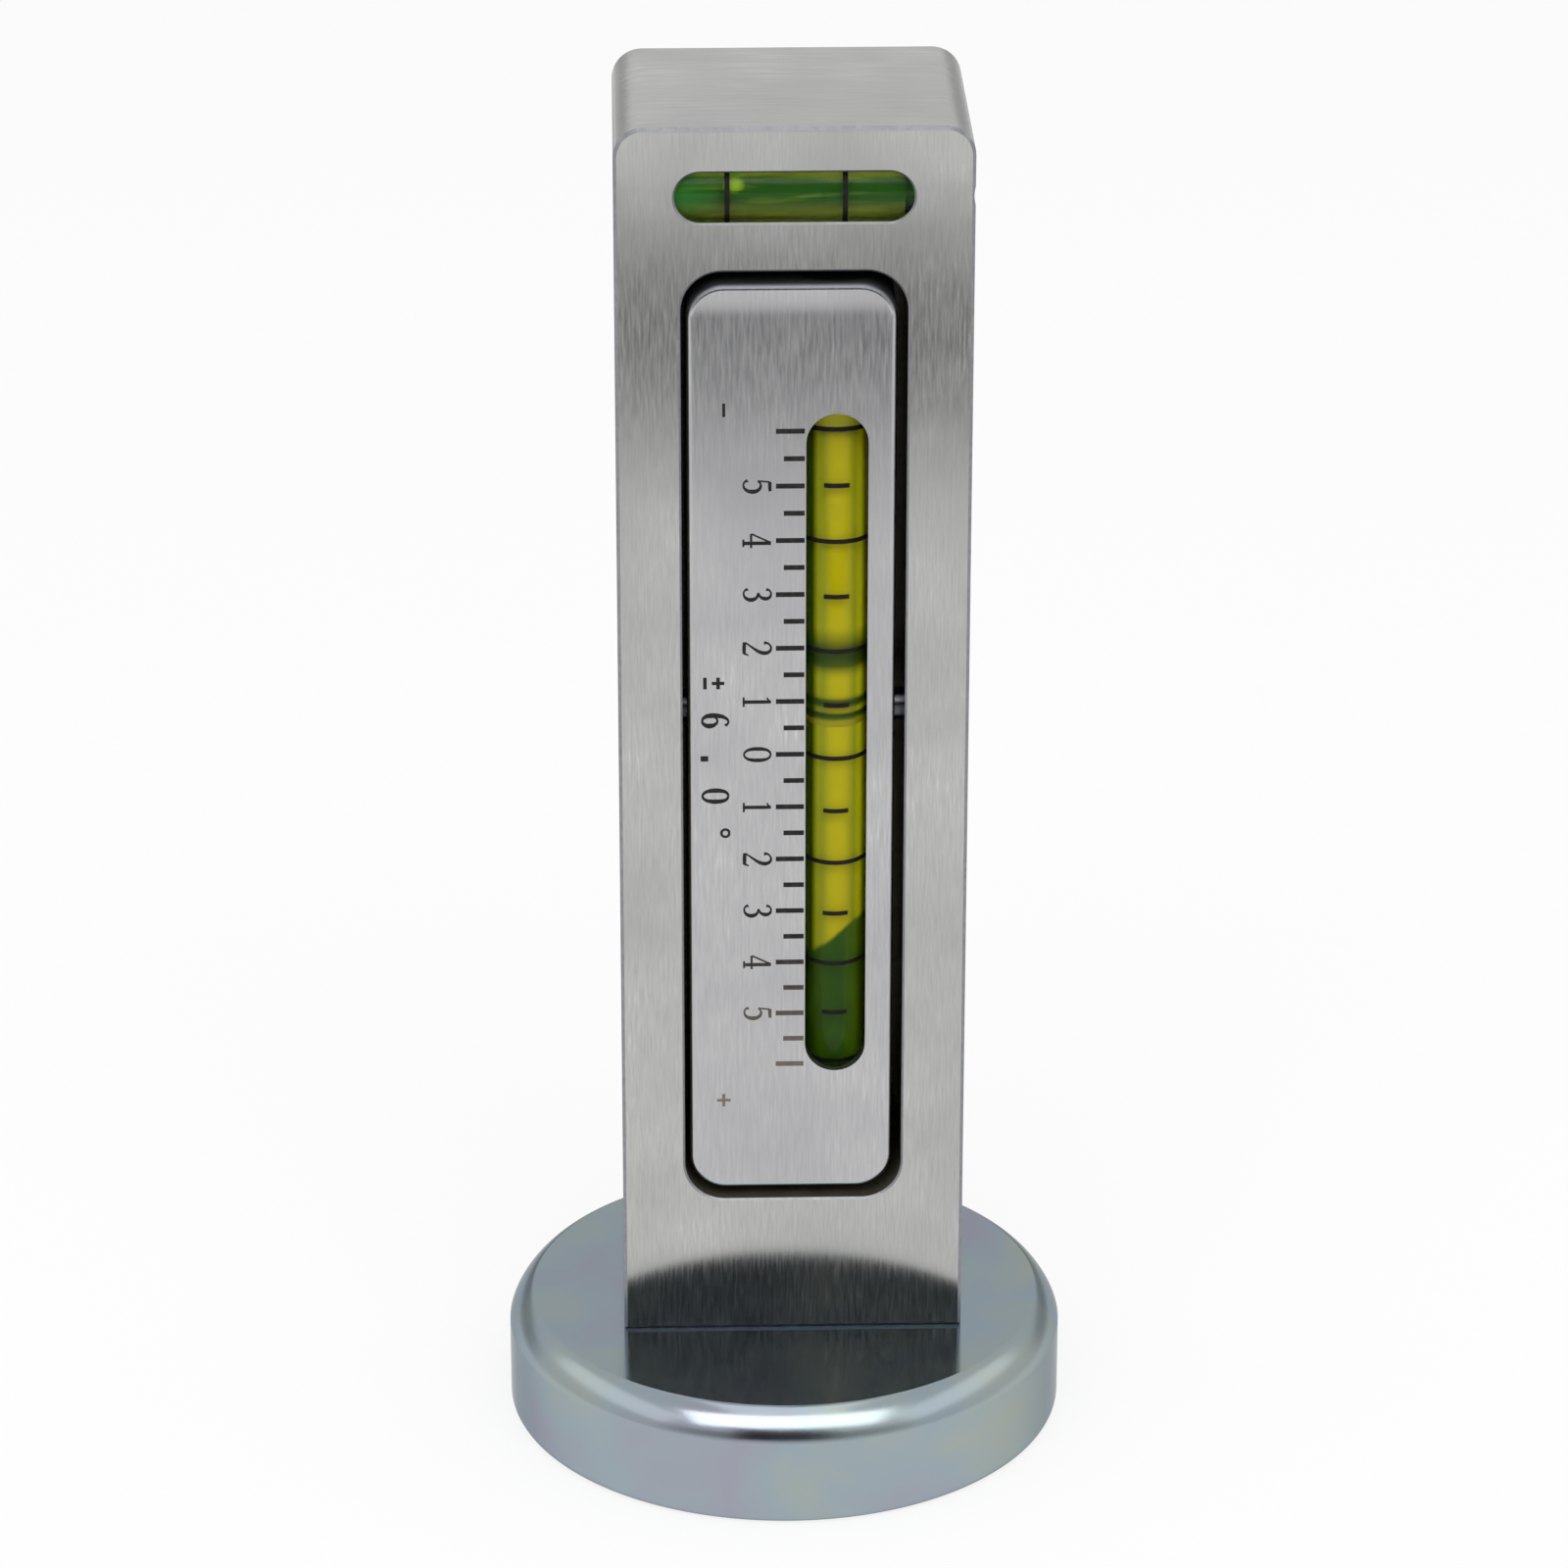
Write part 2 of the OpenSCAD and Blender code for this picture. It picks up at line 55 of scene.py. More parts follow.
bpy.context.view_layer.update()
# Most of a noise's values lie between these two.
NOISE_SPREAD = (0.3, 0.7)
WHITE = (1, 1, 1, 1)
# How much of a face's normal points a way for the face to look that way.
FACING = 0.9
# Places nearer to each other than this, in metres, are one.
NEAR = 1e-6
# In degrees: faces of a skin that lean less are one face, and edges that lean more
# stay sharp.
FLAT_ANGLE = 0.6
SKIN_ANGLE = 30.0

Tree = bpy.types.NodeTree
Socket = bpy.types.NodeSocket
Colour = tuple[float, float, float, float]
Triple = tuple[float, float, float]
Span = tuple[float, float]


class Body(Enum):
    """The rigid bodies of the gauge."""

    BAR = "bar"
    CARRIER = "carrier"
    CAMBER_BUBBLE = "camber_indicator"
    CROSS_BUBBLE = "cross_indicator"


class Slot(Enum):
    """The names of the record's material slots."""

    ZINC = "zinc_plated_steel"
    BAR = "bar_aluminium"
    CARRIER = "carrier_aluminium"
    BLACK = "black_steel"
    ACRYLIC = "vial_acrylic"
    YELLOW = "yellow_liquid"
    GREEN = "green_liquid"
    AIR = "air"


class Part(Enum):
    """What a selection in edit mode is made of."""

    POINTS = "VERT"
    EDGES = "EDGE"
    FACES = "FACE"


# ---------------------------------------------------------------- colour and nodes


def linear(colour: str) -> Colour:
    """Turns an sRGB hex colour to linear.

    Args:
        colour: Six hex digits after a hash sign.

    Returns:
        Linear red, green, blue and an alpha of 1.
    """
    parts = (int(colour[i : i + 2], 16) / 255 for i in (1, 3, 5))
    red, green, blue = (
        part / 12.92 if part <= 0.04045 else ((part + 0.055) / 1.055) ** 2.4 for part in parts
    )
    return red, green, blue, 1.0


def add_node(
    tree: Tree,
    kind: str,
    inputs: dict[int | str, object] | None = None,
    stops: Sequence[tuple[float, str]] = (),
    **settings: object,
) -> bpy.types.Node:
    """Adds a node with its settings and links.

    Args:
        tree: The tree that gets the node.
        kind: The node's type, without the word ShaderNode.
        inputs: For each input socket, the output that feeds it or its constant.
        stops: Places and sRGB hex colours along a colour ramp.
        **settings: The node's own properties.

    Returns:
        The new node.
    """
    node = tree.nodes.new("ShaderNode" + kind)
    for key, value in settings.items():
        setattr(node, key, value)
    for key, value in (inputs or {}).items():
        if isinstance(value, Socket):
            tree.links.new(value, node.inputs[key])
        else:
            node.inputs[key].default_value = value
    for number, (place, colour) in enumerate(stops):
        elements = node.color_ramp.elements
        stop = elements[number] if number < 2 else elements.new(place)
        stop.position, stop.color = place, linear(colour)
    return node


def new_material(label: str) -> tuple[bpy.types.Material, Tree]:
    """Makes a material with an empty node tree.

    Args:
        label: The material's name.

    Returns:
        The material and its tree.
    """
    material = bpy.data.materials.new(label)
    material.use_nodes = True
    material.node_tree.nodes.clear()
    return material, material.node_tree


def surface(tree: Tree, shader: bpy.types.Node) -> None:
    """Shows a shader on the material's surface."""
    add_node(tree, "OutputMaterial", {"Surface": shader.outputs[0]})


def principled(tree: Tree, inputs: dict[int | str, object]) -> None:
    """Shows a principled shader on the material's surface."""
    surface(tree, add_node(tree, "BsdfPrincipled", inputs))


def blend(
    tree: Tree, share: Socket | float, first: bpy.types.Node, second: bpy.types.Node
) -> bpy.types.Node:
    """Blends a second shader into the first."""
    return add_node(tree, "MixShader", {0: share, 1: first.outputs[0], 2: second.outputs[0]})


def maths(tree: Tree, operation: str, *values: Socket | float, **settings: bool) -> Socket:
    """Reckons with up to three numbers."""
    inputs = dict(enumerate(values))
    return add_node(tree, "Math", inputs, operation=operation, **settings).outputs[0]


def apart(tree: Tree, vector: Socket) -> bpy.types.Node:
    """Parts a vector into X, Y and Z."""
    return add_node(tree, "SeparateXYZ", {0: vector})


def ramp(tree: Tree, value: Socket, stops: Sequence[tuple[float, str]]) -> Socket:
    """Turns a number into a colour along a ramp."""
    return add_node(tree, "ValToRGB", {"Fac": value}, stops=stops).outputs[0]


def mixed(tree: Tree, share: Socket, first: Socket, second: Socket | Colour) -> Socket:
    """Mixes a second colour into the first."""
    inputs = {"Factor": share, 6: first, 7: second}
    return add_node(tree, "Mix", inputs, data_type="RGBA").outputs[2]


def remap(tree: Tree, value: Socket, source: Span, target: Span = (0, 1), **way: str) -> Socket:
    """Maps one span of numbers to another and holds what lies outside at its ends.

    Args:
        tree: The material's tree.
        value: The number.
        source: The span that it comes from.
        target: The span that it goes to.
        **way: The node's own properties.

    Returns:
        The mapped number.
    """
    inputs = {"Value": value, "From Min": source[0], "From Max": source[1]}
    inputs |= {"To Min": target[0], "To Max": target[1]}
    return add_node(tree, "MapRange", inputs, **way).outputs[0]


def noise(
    tree: Tree, place: bpy.types.Node, grain: Triple, detail: float, curl: float = 0.0
) -> Socket:
    """Adds noise in the piece's own coordinates.

    Args:
        tree: The material's tree.
        place: Its texture coordinates.
        grain: The size of the noise along X, Y and Z, in millimetres.
        detail: How much finer noise lies over it.
        curl: How far it is distorted.

    Returns:
        The noise, about 0.5.
    """
    scale = tuple(1 / (size * MM) for size in grain)
    where = add_node(tree, "Mapping", {"Vector": place.outputs["Object"], "Scale": scale})
    inputs = {"Vector": where.outputs[0], "Scale": 1.0, "Detail": detail, "Distortion": curl}
    return add_node(tree, "TexNoise", inputs).outputs[0]


def bump(
    tree: Tree,
    height: Socket,
    depth: float,
    strength: float = 0.5,
    normal: Socket | None = None,
    **settings: bool,
) -> Socket:
    """Turns heights from 0 to 1 into relief.

    Args:
        tree: The material's tree.
        height: The heights.
        depth: The relief's depth in millimetres.
        strength: How much of it shows.
        normal: The normal that it starts from, if not the face's own.
        **settings: The node's own properties.

    Returns:
        The output that feeds a shader's Normal.
    """
    inputs = {"Height": height, "Strength": strength, "Distance": depth * MM}
    if normal:
        inputs["Normal"] = normal
    return add_node(tree, "Bump", inputs, **settings).outputs[0]


def matt_card(tree: Tree, colour: str) -> bpy.types.Node:
    """Adds the shader of matt card."""
    return add_node(tree, "BsdfPrincipled", {"Base Color": linear(colour), "Roughness": 0.9})


def dyed(tree: Tree, colour: Socket) -> None:
    """Shows a dyed column, with its normals turned part of the way to the front.

    Light scatters inside the spirit, so its sides are lit nearly as its middle is.

    Args:
        tree: The material's tree.
        colour: The column's colour.
    """
    kept, front = 0.3, (0, -0.65, 0.25)
    own = add_node(tree, "NewGeometry").outputs["Normal"]
    turned = add_node(
        tree, "VectorMath", {0: own, 1: (kept,) * 3, 2: front}, operation="MULTIPLY_ADD"
    )
    normal = add_node(tree, "VectorMath", {0: turned.outputs[0]}, operation="NORMALIZE")
    principled(
        tree,
        {
            "Base Color": colour,
            "Roughness": 0.6,
            "Specular IOR Level": 0.0,
            "Normal": normal.outputs[0],
        },
    )


# ---------------------------------------------------------------- finishes


@dataclass(frozen=True)
class BrushedAluminium:
    """Milled aluminium with brushed faces.

    It is metal, so its colour is in what it reflects. The brush runs along the bar
    and its fine lines spread a reflection across them and keep it sharp along them.
    The end faces carry the cross-wise marks of the milling cutter.
    """

    label: str
    light: str = "#bdbdbb"
    dark: str = "#a9a9a8"
    bright: str = "#d2d2ce"
    roughness: float = 0.17
    uneven: float = 0.03
    # The brush lines are 0.03 to 0.05 mm wide. They are drawn 0.17 mm wide, to show.
    line_width: float = 0.17
    line_length: float = 2.1
    mill_pitch: float = 0.3
    mill_length: float = 4.5
    cloud: float = 9.0
    # How far the lines' tones are lifted along the ramp.
    lifted: float = 0.12
    relief: float = 0.005
    # The normal's Z from which a face is an end face.
    end_from: float = 0.7
    # The dial plate's upward rounded edge is painted darker as painted shade and made
    # rougher: how much, its colour, how much rougher and the normal's Z where it begins and ends.
    dulled: float = 0.0
    dull: str = "#64666c"
    dull_roughness: float = 0.3
    dull_span: Span = (0.1, 0.4)
    # The buff eased the faces at their upper ends: from and to this height.
    eased: Span = (0.0, 0.0)
    eased_depth: float = 0.0

    def easing(self, tree: Tree, place: bpy.types.Node) -> Socket:
        """Leans the face back, more and more towards its upper end.

        Args:
            tree: The material's tree.
            place: Its texture coordinates.

        Returns:
            The leaning normal.
        """
        low, high = self.eased
        up = apart(tree, place.outputs["Object"]).outputs["Z"]
        share = remap(tree, up, (low * MM, high * MM))
        fall = maths(tree, "MULTIPLY", share, share)
        return bump(tree, fall, self.eased_depth, strength=1.0, invert=True)

    def lines(self, tree: Tree, place: bpy.types.Node, end_face: Socket) -> Socket:
        """Draws the brush's lines on the long faces and the cutter's on the ends.

        Args:
            tree: The material's tree.
            place: Its texture coordinates.
            end_face: 1 on an end face and 0 elsewhere.

        Returns:
            The lines' heights, about 0.5.
        """
        wide, pitch = self.line_width, self.mill_pitch
        brush = noise(tree, place, (wide, wide, self.line_length), 3.0)
        mill = noise(tree, place, (self.mill_length, pitch, pitch), 4.0)
        inputs = {"Factor": end_face, "A": brush, "B": mill}
        return add_node(tree, "Mix", inputs, data_type="FLOAT").outputs[0]

    def make(self) -> bpy.types.Material:
        """Makes the material.

        Returns:
            The material.
        """
        material, tree = new_material(self.label)
        place = add_node(tree, "TexCoord")
        facing_up = apart(tree, place.outputs["Normal"]).outputs["Z"]
        upright = maths(tree, "ABSOLUTE", facing_up)
        end_face = maths(tree, "GREATER_THAN", upright, self.end_from)
        lines = self.lines(tree, place, end_face)
        clouds = noise(tree, place, (self.cloud,) * 3, 2.0)
        amount = maths(tree, "MULTIPLY_ADD", lines, clouds, self.lifted)
        tone = ramp(tree, amount, [(0.22, self.dark), (0.64, self.bright), (0.5, self.light)])
        around = (self.roughness - self.uneven, self.roughness + self.uneven)
        rough = remap(tree, lines, NOISE_SPREAD, around)
        # Painted shade on the upward rounded edge, which is also made rougher.
        if self.dulled:
            edge = remap(tree, facing_up, self.dull_span, (0, self.dulled))
            tone = mixed(tree, edge, tone, linear(self.dull))
            rough = maths(tree, "MULTIPLY_ADD", edge, self.dull_roughness, rough)
        easing = self.easing(tree, place) if self.eased_depth else None
        round_z = add_node(tree, "Tangent", direction_type="RADIAL", axis="Z")
        across = add_node(
            tree,
            "Mix",
            {"Factor": end_face, 4: round_z.outputs[0], 5: (0, 1, 0)},
            data_type="VECTOR",
        )
        principled(
            tree,
            {
                "Base Color": tone,
                "Metallic": 1.0,
                "Roughness": rough,
                "Normal": bump(tree, lines, self.relief, normal=easing),
                "Tangent": across.outputs[1],
                "Anisotropic": 0.5,
            },
        )
        return material


@dataclass(frozen=True)
class ZincPlate:
    """Drawn steel with bright zinc plate and a thin blue passivation.

    The plate is a satin metal. The passivation tints it blue, with faint violet and
    straw clouds where the film is thicker.
    """

    label: str
    blue: str = "#9ba9b0"
    violet: str = "#9ea1ad"
    straw: str = "#a5ada6"
    roughness: float = 0.19
    smoother: float = 0.04
    rougher: float = 0.05
    # The flat top was rolled smooth, and drawing roughened the shoulder and wall: by
    # what share smoother, and the normal's Z from rolled to drawn.
    rolled: float = 0.6
    rolled_span: Span = (0.995, 0.95)
    cloud: float = 11.0
    # Zinc doesn't flare at a grazing view, as smoother metals do.
    grazing: Colour = (0.55, 0.57, 0.6, 1.0)
    # The plate's crystals are finer than 0.02 mm. They are drawn 0.2 mm wide, to show.
    grain: float = 0.2
    relief: float = 0.006

    def make(self) -> bpy.types.Material:
        """Makes the material.

        Returns:
            The material.
        """
        material, tree = new_material(self.label)
        place = add_node(tree, "TexCoord")
        clouds = noise(tree, place, (self.cloud,) * 3, 3.0, 0.6)
        crystals = noise(tree, place, (self.grain,) * 3, 3.0)
        around = (self.roughness - self.smoother, self.roughness + self.rougher)
        rough = remap(tree, clouds, NOISE_SPREAD, around)
        facing_up = apart(tree, place.outputs["Normal"]).outputs["Z"]
        drawn = remap(tree, facing_up, self.rolled_span, (self.rolled, 1))
        principled(
            tree,
            {
                "Base Color": ramp(
                    tree, clouds, [(0.3, self.violet), (0.72, self.straw), (0.5, self.blue)]
                ),
                "Metallic": 1.0,
                "Specular Tint": self.grazing,
                "Roughness": maths(tree, "MULTIPLY", rough, drawn),
                "Normal": bump(tree, crystals, self.relief),
            },
        )
        return material


@dataclass(frozen=True)
class Grained:
    """A solid with two close shades in a fine grain.

    It stands for black-oxide steel, which is a dark satin with a little metal in it,
    for ground pin steel and deburred or milled aluminium darkened as painted shade, for
    sintered ferrite, which is matt with a fine sparkle, for enamel, for moulded plugs
    and for cast plaster.
    """

    label: str
    first: str
    second: str
    roughness: float
    metallic: float = 0.0
    specular: float = 0.5
    grain: Triple = (0.3, 0.3, 0.3)
    relief: float = 0.01

    def make(self) -> bpy.types.Material:
        """Makes the material.

        Returns:
            The material.
        """
        material, tree = new_material(self.label)
        grain = noise(tree, add_node(tree, "TexCoord"), self.grain, 4.0)
        low, high = NOISE_SPREAD
        principled(
            tree,
            {
                "Base Color": ramp(tree, grain, [(low, self.first), (high, self.second)]),
                "Metallic": self.metallic,
                "Roughness": self.roughness,
                "Specular IOR Level": self.specular,
                "Normal": bump(tree, grain, self.relief),
            },
        )
        return material


@dataclass(frozen=True)
class MarkPaint:
    """Black enamel wiped into the dial's marks.

    It is a satin black that turns a warm grey towards the dial's lower end.
    """

    label: str
    fresh: str = "#1c1b1b"
    worn: str = "#6f675c"
    worn_below: float = 29.0
    fresh_above: float = 41.0
    most_wear: float = 0.62
    grain: float = 1 / 3
    speckle: float = 0.25

    def make(self) -> bpy.types.Material:
        """Makes the material.

        Returns:
            The material.
        """
        material, tree = new_material(self.label)
        place = add_node(tree, "TexCoord")
        up = apart(tree, place.outputs["Object"]).outputs["Z"]
        grain = noise(tree, place, (self.grain,) * 3, 2.0)
        span = (self.worn_below * MM, self.fresh_above * MM)
        height = remap(tree, up, span, (self.most_wear, 0))
        greying = maths(tree, "MULTIPLY_ADD", grain, self.speckle, height)
        shade = ramp(tree, greying, [(0.12, self.fresh), (0.75, self.worn)])
        principled(tree, {"Base Color": shade, "Roughness": 0.6, "Specular IOR Level": 0.2})
        return material


@dataclass(frozen=True)
class CastAcrylic:
    """Polished cast acrylic, as a vial's tube is made of.

    It is clear with an IOR of 1.49, so it magnifies the bore until the spirit seems
    to fill the tube. Lamps shine through it.
    """

    label: str
    tint: str = "#fafbe8"
    # The slot shades the tube, so less of the room shines on it than on open glass.
    shaded: float = 0.7
    wetted: bool = False
    wave: Triple = (2.0, 2.0, 16.6667)
    wave_depth: float = 0.004

    def make(self) -> bpy.types.Material:
        """Makes the material. A wetted wall passes light straight into the spirit.

        Returns:
            The material.
        """
        material, tree = new_material(self.label)
        if self.wetted:
            surface(tree, add_node(tree, "BsdfTransparent"))
            return material
        tint = linear(self.tint)
        waves = noise(tree, add_node(tree, "TexCoord"), self.wave, 1.0)
        relief = bump(tree, waves, self.wave_depth, strength=0.2)
        polish = {"Roughness": 0.03, "IOR": 1.49, "Normal": relief}
        glass = add_node(
            tree, "BsdfPrincipled", {"Base Color": tint, "Transmission Weight": 1.0} | polish
        )
        unlit = add_node(tree, "BsdfRefraction", {"Color": tint} | polish)
        wall = blend(tree, self.shaded, glass, unlit)
        clear = add_node(tree, "BsdfTransparent", {"Color": tint})
        shadow = add_node(tree, "LightPath").outputs["Is Shadow Ray"]
        surface(tree, blend(tree, shadow, wall, clear))
        return material


@dataclass(frozen=True)
class VialBore:
    """Where a dyed column lies in a vial."""

    x: float = 3.53977
    y: float = -4.38823
    zero_z: float = 55.8951
    radius: float = 1.72


@dataclass(frozen=True)
class CamberSpirit:
    """Yellow-green dyed spirit, seen against pale plaster.

    The vial bends the light, so the column is painted with light and shade: brightest
    down its middle, olive to each side and dark green at its edges. Below the plaster's
    sloping end it has no pale ground and is painted in shade, a dark green with paler
    swirls.
    """

    label: str
    bore: VialBore
    # Painted light and shade across the column: bright down the middle, dark at the edges,
    # and the right side painted brighter against the slot's shade. The tube's front shows
    # the whole front half of the column, so the bands crowd towards its sides.
    bands: tuple[tuple[float, str], ...] = (
        (0.0, "#566b2c"),
        (1.0, "#8c8c28"),
        (0.031, "#506520"),
        (0.07, "#3d4f02"),
        (0.1175, "#8c9308"),
        (0.1625, "#abae1b"),
        (0.215, "#9ea115"),
        (0.2675, "#999b16"),
        (0.32, "#a2a01b"),
        (0.37, "#aea60f"),
        (0.45, "#b7ab0d"),
        (0.645, "#b8ac0d"),
        (0.7, "#b5a90d"),
        (0.751, "#ada714"),
        (0.802, "#9fa012"),
        (0.8525, "#9ea40f"),
        (0.9, "#c9c81a"),
        (0.9435, "#e0dc1c"),
        (0.98, "#aaac14"),
    )
    # Painted shade: the column below the plaster's end, with no lit ground behind it.
    dark_bands: tuple[tuple[float, str], ...] = (
        (0.0, "#30440c"),
        (1.0, "#50600c"),
        (0.06, "#35500a"),
        (0.2, "#385606"),
        (0.35, "#2c4e05"),
        (0.5, "#284904"),
        (0.65, "#2c4e05"),
        (0.8, "#436008"),
        (0.9, "#55700a"),
    )
    swirl: str = "#416e10"
    swirl_size: Triple = (2.38095, 2.38095, 3.84615)
    swirl_span: Span = (0.5, 0.75)
    swirl_share: float = 0.55
    ground_end: float = 40.9
    ground_slope: float = 0.95
    # The end of the pale ground is ragged by this much, and soft over this span.
    ragged: float = 0.9
    softened: Span = (0.2, 0.75)
    # Painted light: above the first line the column is painted brighter, where the slot's upper
    # end shades it.
    crown: str = "#fffb40"
    crown_span: Span = (80.2, 80.5)
    crown_share: float = 0.9

    def column(self, tree: Tree, place: bpy.types.Node) -> tuple[Socket, Socket]:
        """Adds the painted light bands and the painted shade bands across the column.

        Args:
            tree: The material's tree.
            place: A separated Object coordinate.

        Returns:
            The painted light and the painted shade colour outputs.
        """
        left, right = ((self.bore.x + side * self.bore.radius) * MM for side in (-1, 1))
        share = remap(tree, place.outputs["X"], (left, right))
        return ramp(tree, share, self.bands), ramp(tree, share, self.dark_bands)

    def make(self) -> bpy.types.Material:
        """Makes the material.

        Returns:
            The material.
        """
        material, tree = new_material(self.label)
        place = add_node(tree, "TexCoord")
        at = apart(tree, place.outputs["Object"])
        # bright carries the painted light across the column and dark the painted shade below the
        # plaster's end; lit mixes the two.
        bright, dark = self.column(tree, at)
        swirls = noise(tree, place, self.swirl_size, 2.0, 1.6)
        share = remap(tree, swirls, self.swirl_span, (0, self.swirl_share))
        swirled = mixed(tree, share, dark, linear(self.swirl))
        slope = maths(
            tree, "MULTIPLY_ADD", at.outputs["X"], -self.ground_slope, at.outputs["Z"]
        )
        wobble = maths(tree, "MULTIPLY_ADD", swirls, self.ragged * MM, slope)
        level = self.ground_end - self.ground_slope * self.bore.x
        span = tuple((level + more) * MM for more in self.softened)
        lit = remap(tree, wobble, span, interpolation_type="SMOOTHSTEP")
        colour = mixed(tree, lit, swirled, bright)
        # Painted light above the first line.
        low, high = self.crown_span
        crown = remap(tree, at.outputs["Z"], (low * MM, high * MM), (0, self.crown_share))
        dyed(tree, mixed(tree, crown, colour, linear(self.crown)))
        return material


@dataclass(frozen=True)
class CamberBubble:
    """The bubble's skin: air under a film of spirit.

    Its two ends bend the light away, so each is painted with dark green bands of shade
    across the column, soft at the upper end and in thin lines at the lower one, and the
    lower end is painted amber with refracted light.
    """

    label: str
    spirit: CamberSpirit
    middle_z: float
    half_length: float = 4.1
    band: str = "#24420a"
    amber: str = "#9b9526"
    # Distance above the bubble's middle and how strong the painted shade is there.
    shading: tuple[tuple[float, float], ...] = (
        (-4.1, 0.3),
        (-3.7, 0.2),
        (-3.4, 0.3),
        (-3.1, 0.7),
        (-2.8, 0.97),
        (-2.5, 0.25),
        (-2.2, 0.6),
        (-1.9, 0.95),
        (-1.6, 0.6),
        (-1.3, 0.06),
        (-1.0, 0.0),
        (-0.2, 0.0),
        (0.2, 0.12),
        (0.52, 0.38),
        (0.82, 0.68),
        (1.12, 0.92),
        (1.73, 0.95),
        (2.34, 0.85),
        (2.64, 0.72),
        (2.94, 0.55),
        (3.25, 0.38),
        (3.55, 0.2),
        (3.85, 0.06),
        (4.1, 0.0),
    )
    # How strong the painted amber light is towards the lower end.
    ambers: tuple[tuple[float, float], ...] = (
        (-4.1, 0.8),
        (-3.45, 0.8),
        (-3.2, 0.0),
    )

    def strength(
        self, tree: Tree, along: Socket, stops: Sequence[tuple[float, float]]
    ) -> Socket:
        """Draws how strong a colour is along the bubble.

        Args:
            tree: The material's tree.
            along: The place along the bubble, from 0 to 1.
            stops: Distances above the bubble's middle and the strength at each.

        Returns:
            The strength.
        """
        amount = add_node(tree, "FloatCurve", {"Value": along})
        points = amount.mapping.curves[0].points
        for number, (above, value) in enumerate(stops):
            spot = (above / self.half_length + 1) / 2
            if number < 2:
                points[number].location = (spot, value)
            else:
                points.new(spot, value)
        for point in points:
            point.handle_type = "AUTO_CLAMPED"
        amount.mapping.update()
        return amount.outputs[0]

    def make(self) -> bpy.types.Material:
        """Makes the material.

        Returns:
            The material.
        """
        material, tree = new_material(self.label)
        at = apart(tree, add_node(tree, "TexCoord").outputs["Object"])
        shown, _ = self.spirit.column(tree, at)
        ends = ((self.middle_z + side * self.half_length) * MM for side in (-1, 1))
        along = remap(tree, at.outputs["Z"], tuple(ends))
        for stops, colour in ((self.shading, self.band), (self.ambers, self.amber)):
            shown = mixed(tree, self.strength(tree, along, stops), shown, linear(colour))
        dyed(tree, shown)
        return material


@dataclass(frozen=True)
class CrossSpirit:
    """Green dyed spirit in the cross vial, with nothing pale behind it.

    It is painted dark green through its middle and olive below, as painted light from
    the window's lower lip, with pale painted light at its rims, and it is streaked along
    its length.
    """

    label: str
    z: float
    radius: float
    # Painted light and shade from the bottom up: pale and olive as light from the lower lip, dark
    # green through the middle, pale at the top against the upper lip's shade.
    bands: tuple[tuple[float, str], ...] = (
        (0.0, "#e8ff90"),
        (1.0, "#fbff94"),
        (0.05, "#b4c45c"),
        (0.12, "#82902c"),
        (0.17, "#65782a"),
        (0.26, "#4f6224"),
        (0.34, "#2e511e"),
        (0.5, "#26501e"),
        (0.74, "#2a5422"),
        (0.8, "#3f6f20"),
        (0.86, "#a9c040"),
    )
    # The bands wander up and down with the streaks, about a place a little higher.
    wander: float = 0.5
    lifted: float = 0.25
    streak: str = "#6f7f2c"
    streak_size: Triple = (5.88235, 1.11111, 0.526316)
    streak_span: Span = (0.55, 0.75)
    streak_share: float = 0.45
    # The column is a livelier green towards its left end.
    patch: str = "#2f8f3e"
    patch_span: Span = (-4.6, -8.2)
    patch_share: float = 0.55
    # A painted highlight, a ragged glint at the left: its place, how flat it is and from where it
    # fades.
    glint: str = "#9cc63a"
    glint_x: float = -3.75
    glint_above: float = 1.05
    glint_flat: float = 0.7
    glint_ragged: float = -1.1
    glint_span: Span = (0.2, -0.4)
    glint_share: float = 0.9

    def near_glint(self, tree: Tree, place: bpy.types.Node, streaks: Socket) -> Socket:
        """Gives how strong the painted glint is at each point.

        Args:
            tree: The material's tree.
            place: Its texture coordinates.
            streaks: The noise that frays the glint's edge.

        Returns:
            The strength.
        """
        flat, above = self.glint_flat, self.z + self.glint_above
        scale, shift = (1, 0, flat), (-self.glint_x * MM, 0, -flat * above * MM)
        inputs = {0: place.outputs["Object"], 1: scale, 2: shift}
        spot = add_node(tree, "VectorMath", inputs, operation="MULTIPLY_ADD")
        far = add_node(tree, "VectorMath", {0: spot.outputs[0]}, operation="LENGTH")
        ragged = maths(
            tree, "MULTIPLY_ADD", streaks, self.glint_ragged * MM, far.outputs["Value"]
        )
        edge, core = self.glint_span
        return remap(tree, ragged, (edge * MM, core * MM), (0, self.glint_share))

    def make(self) -> bpy.types.Material:
        """Makes the material.

        Returns:
            The material.
        """
        material, tree = new_material(self.label)
        place = add_node(tree, "TexCoord")
        at = apart(tree, place.outputs["Object"])
        streaks = noise(tree, place, self.streak_size, 3.0, 0.5)
        moved = maths(tree, "MULTIPLY_ADD", streaks, self.wander * MM, at.outputs["Z"])
        ends = ((self.z + side * self.radius + self.lifted) * MM for side in (-1, 1))
        colour = ramp(tree, remap(tree, moved, tuple(ends)), self.bands)
        share = remap(tree, streaks, self.streak_span, (0, self.streak_share))
        colour = mixed(tree, share, colour, linear(self.streak))
        start, end = self.patch_span
        left = remap(tree, at.outputs["X"], (start * MM, end * MM), (0, self.patch_share))
        colour = mixed(tree, left, colour, linear(self.patch))
        # The painted highlight.
        glint = self.near_glint(tree, place, streaks)
        dyed(tree, mixed(tree, glint, colour, linear(self.glint)))
        return material


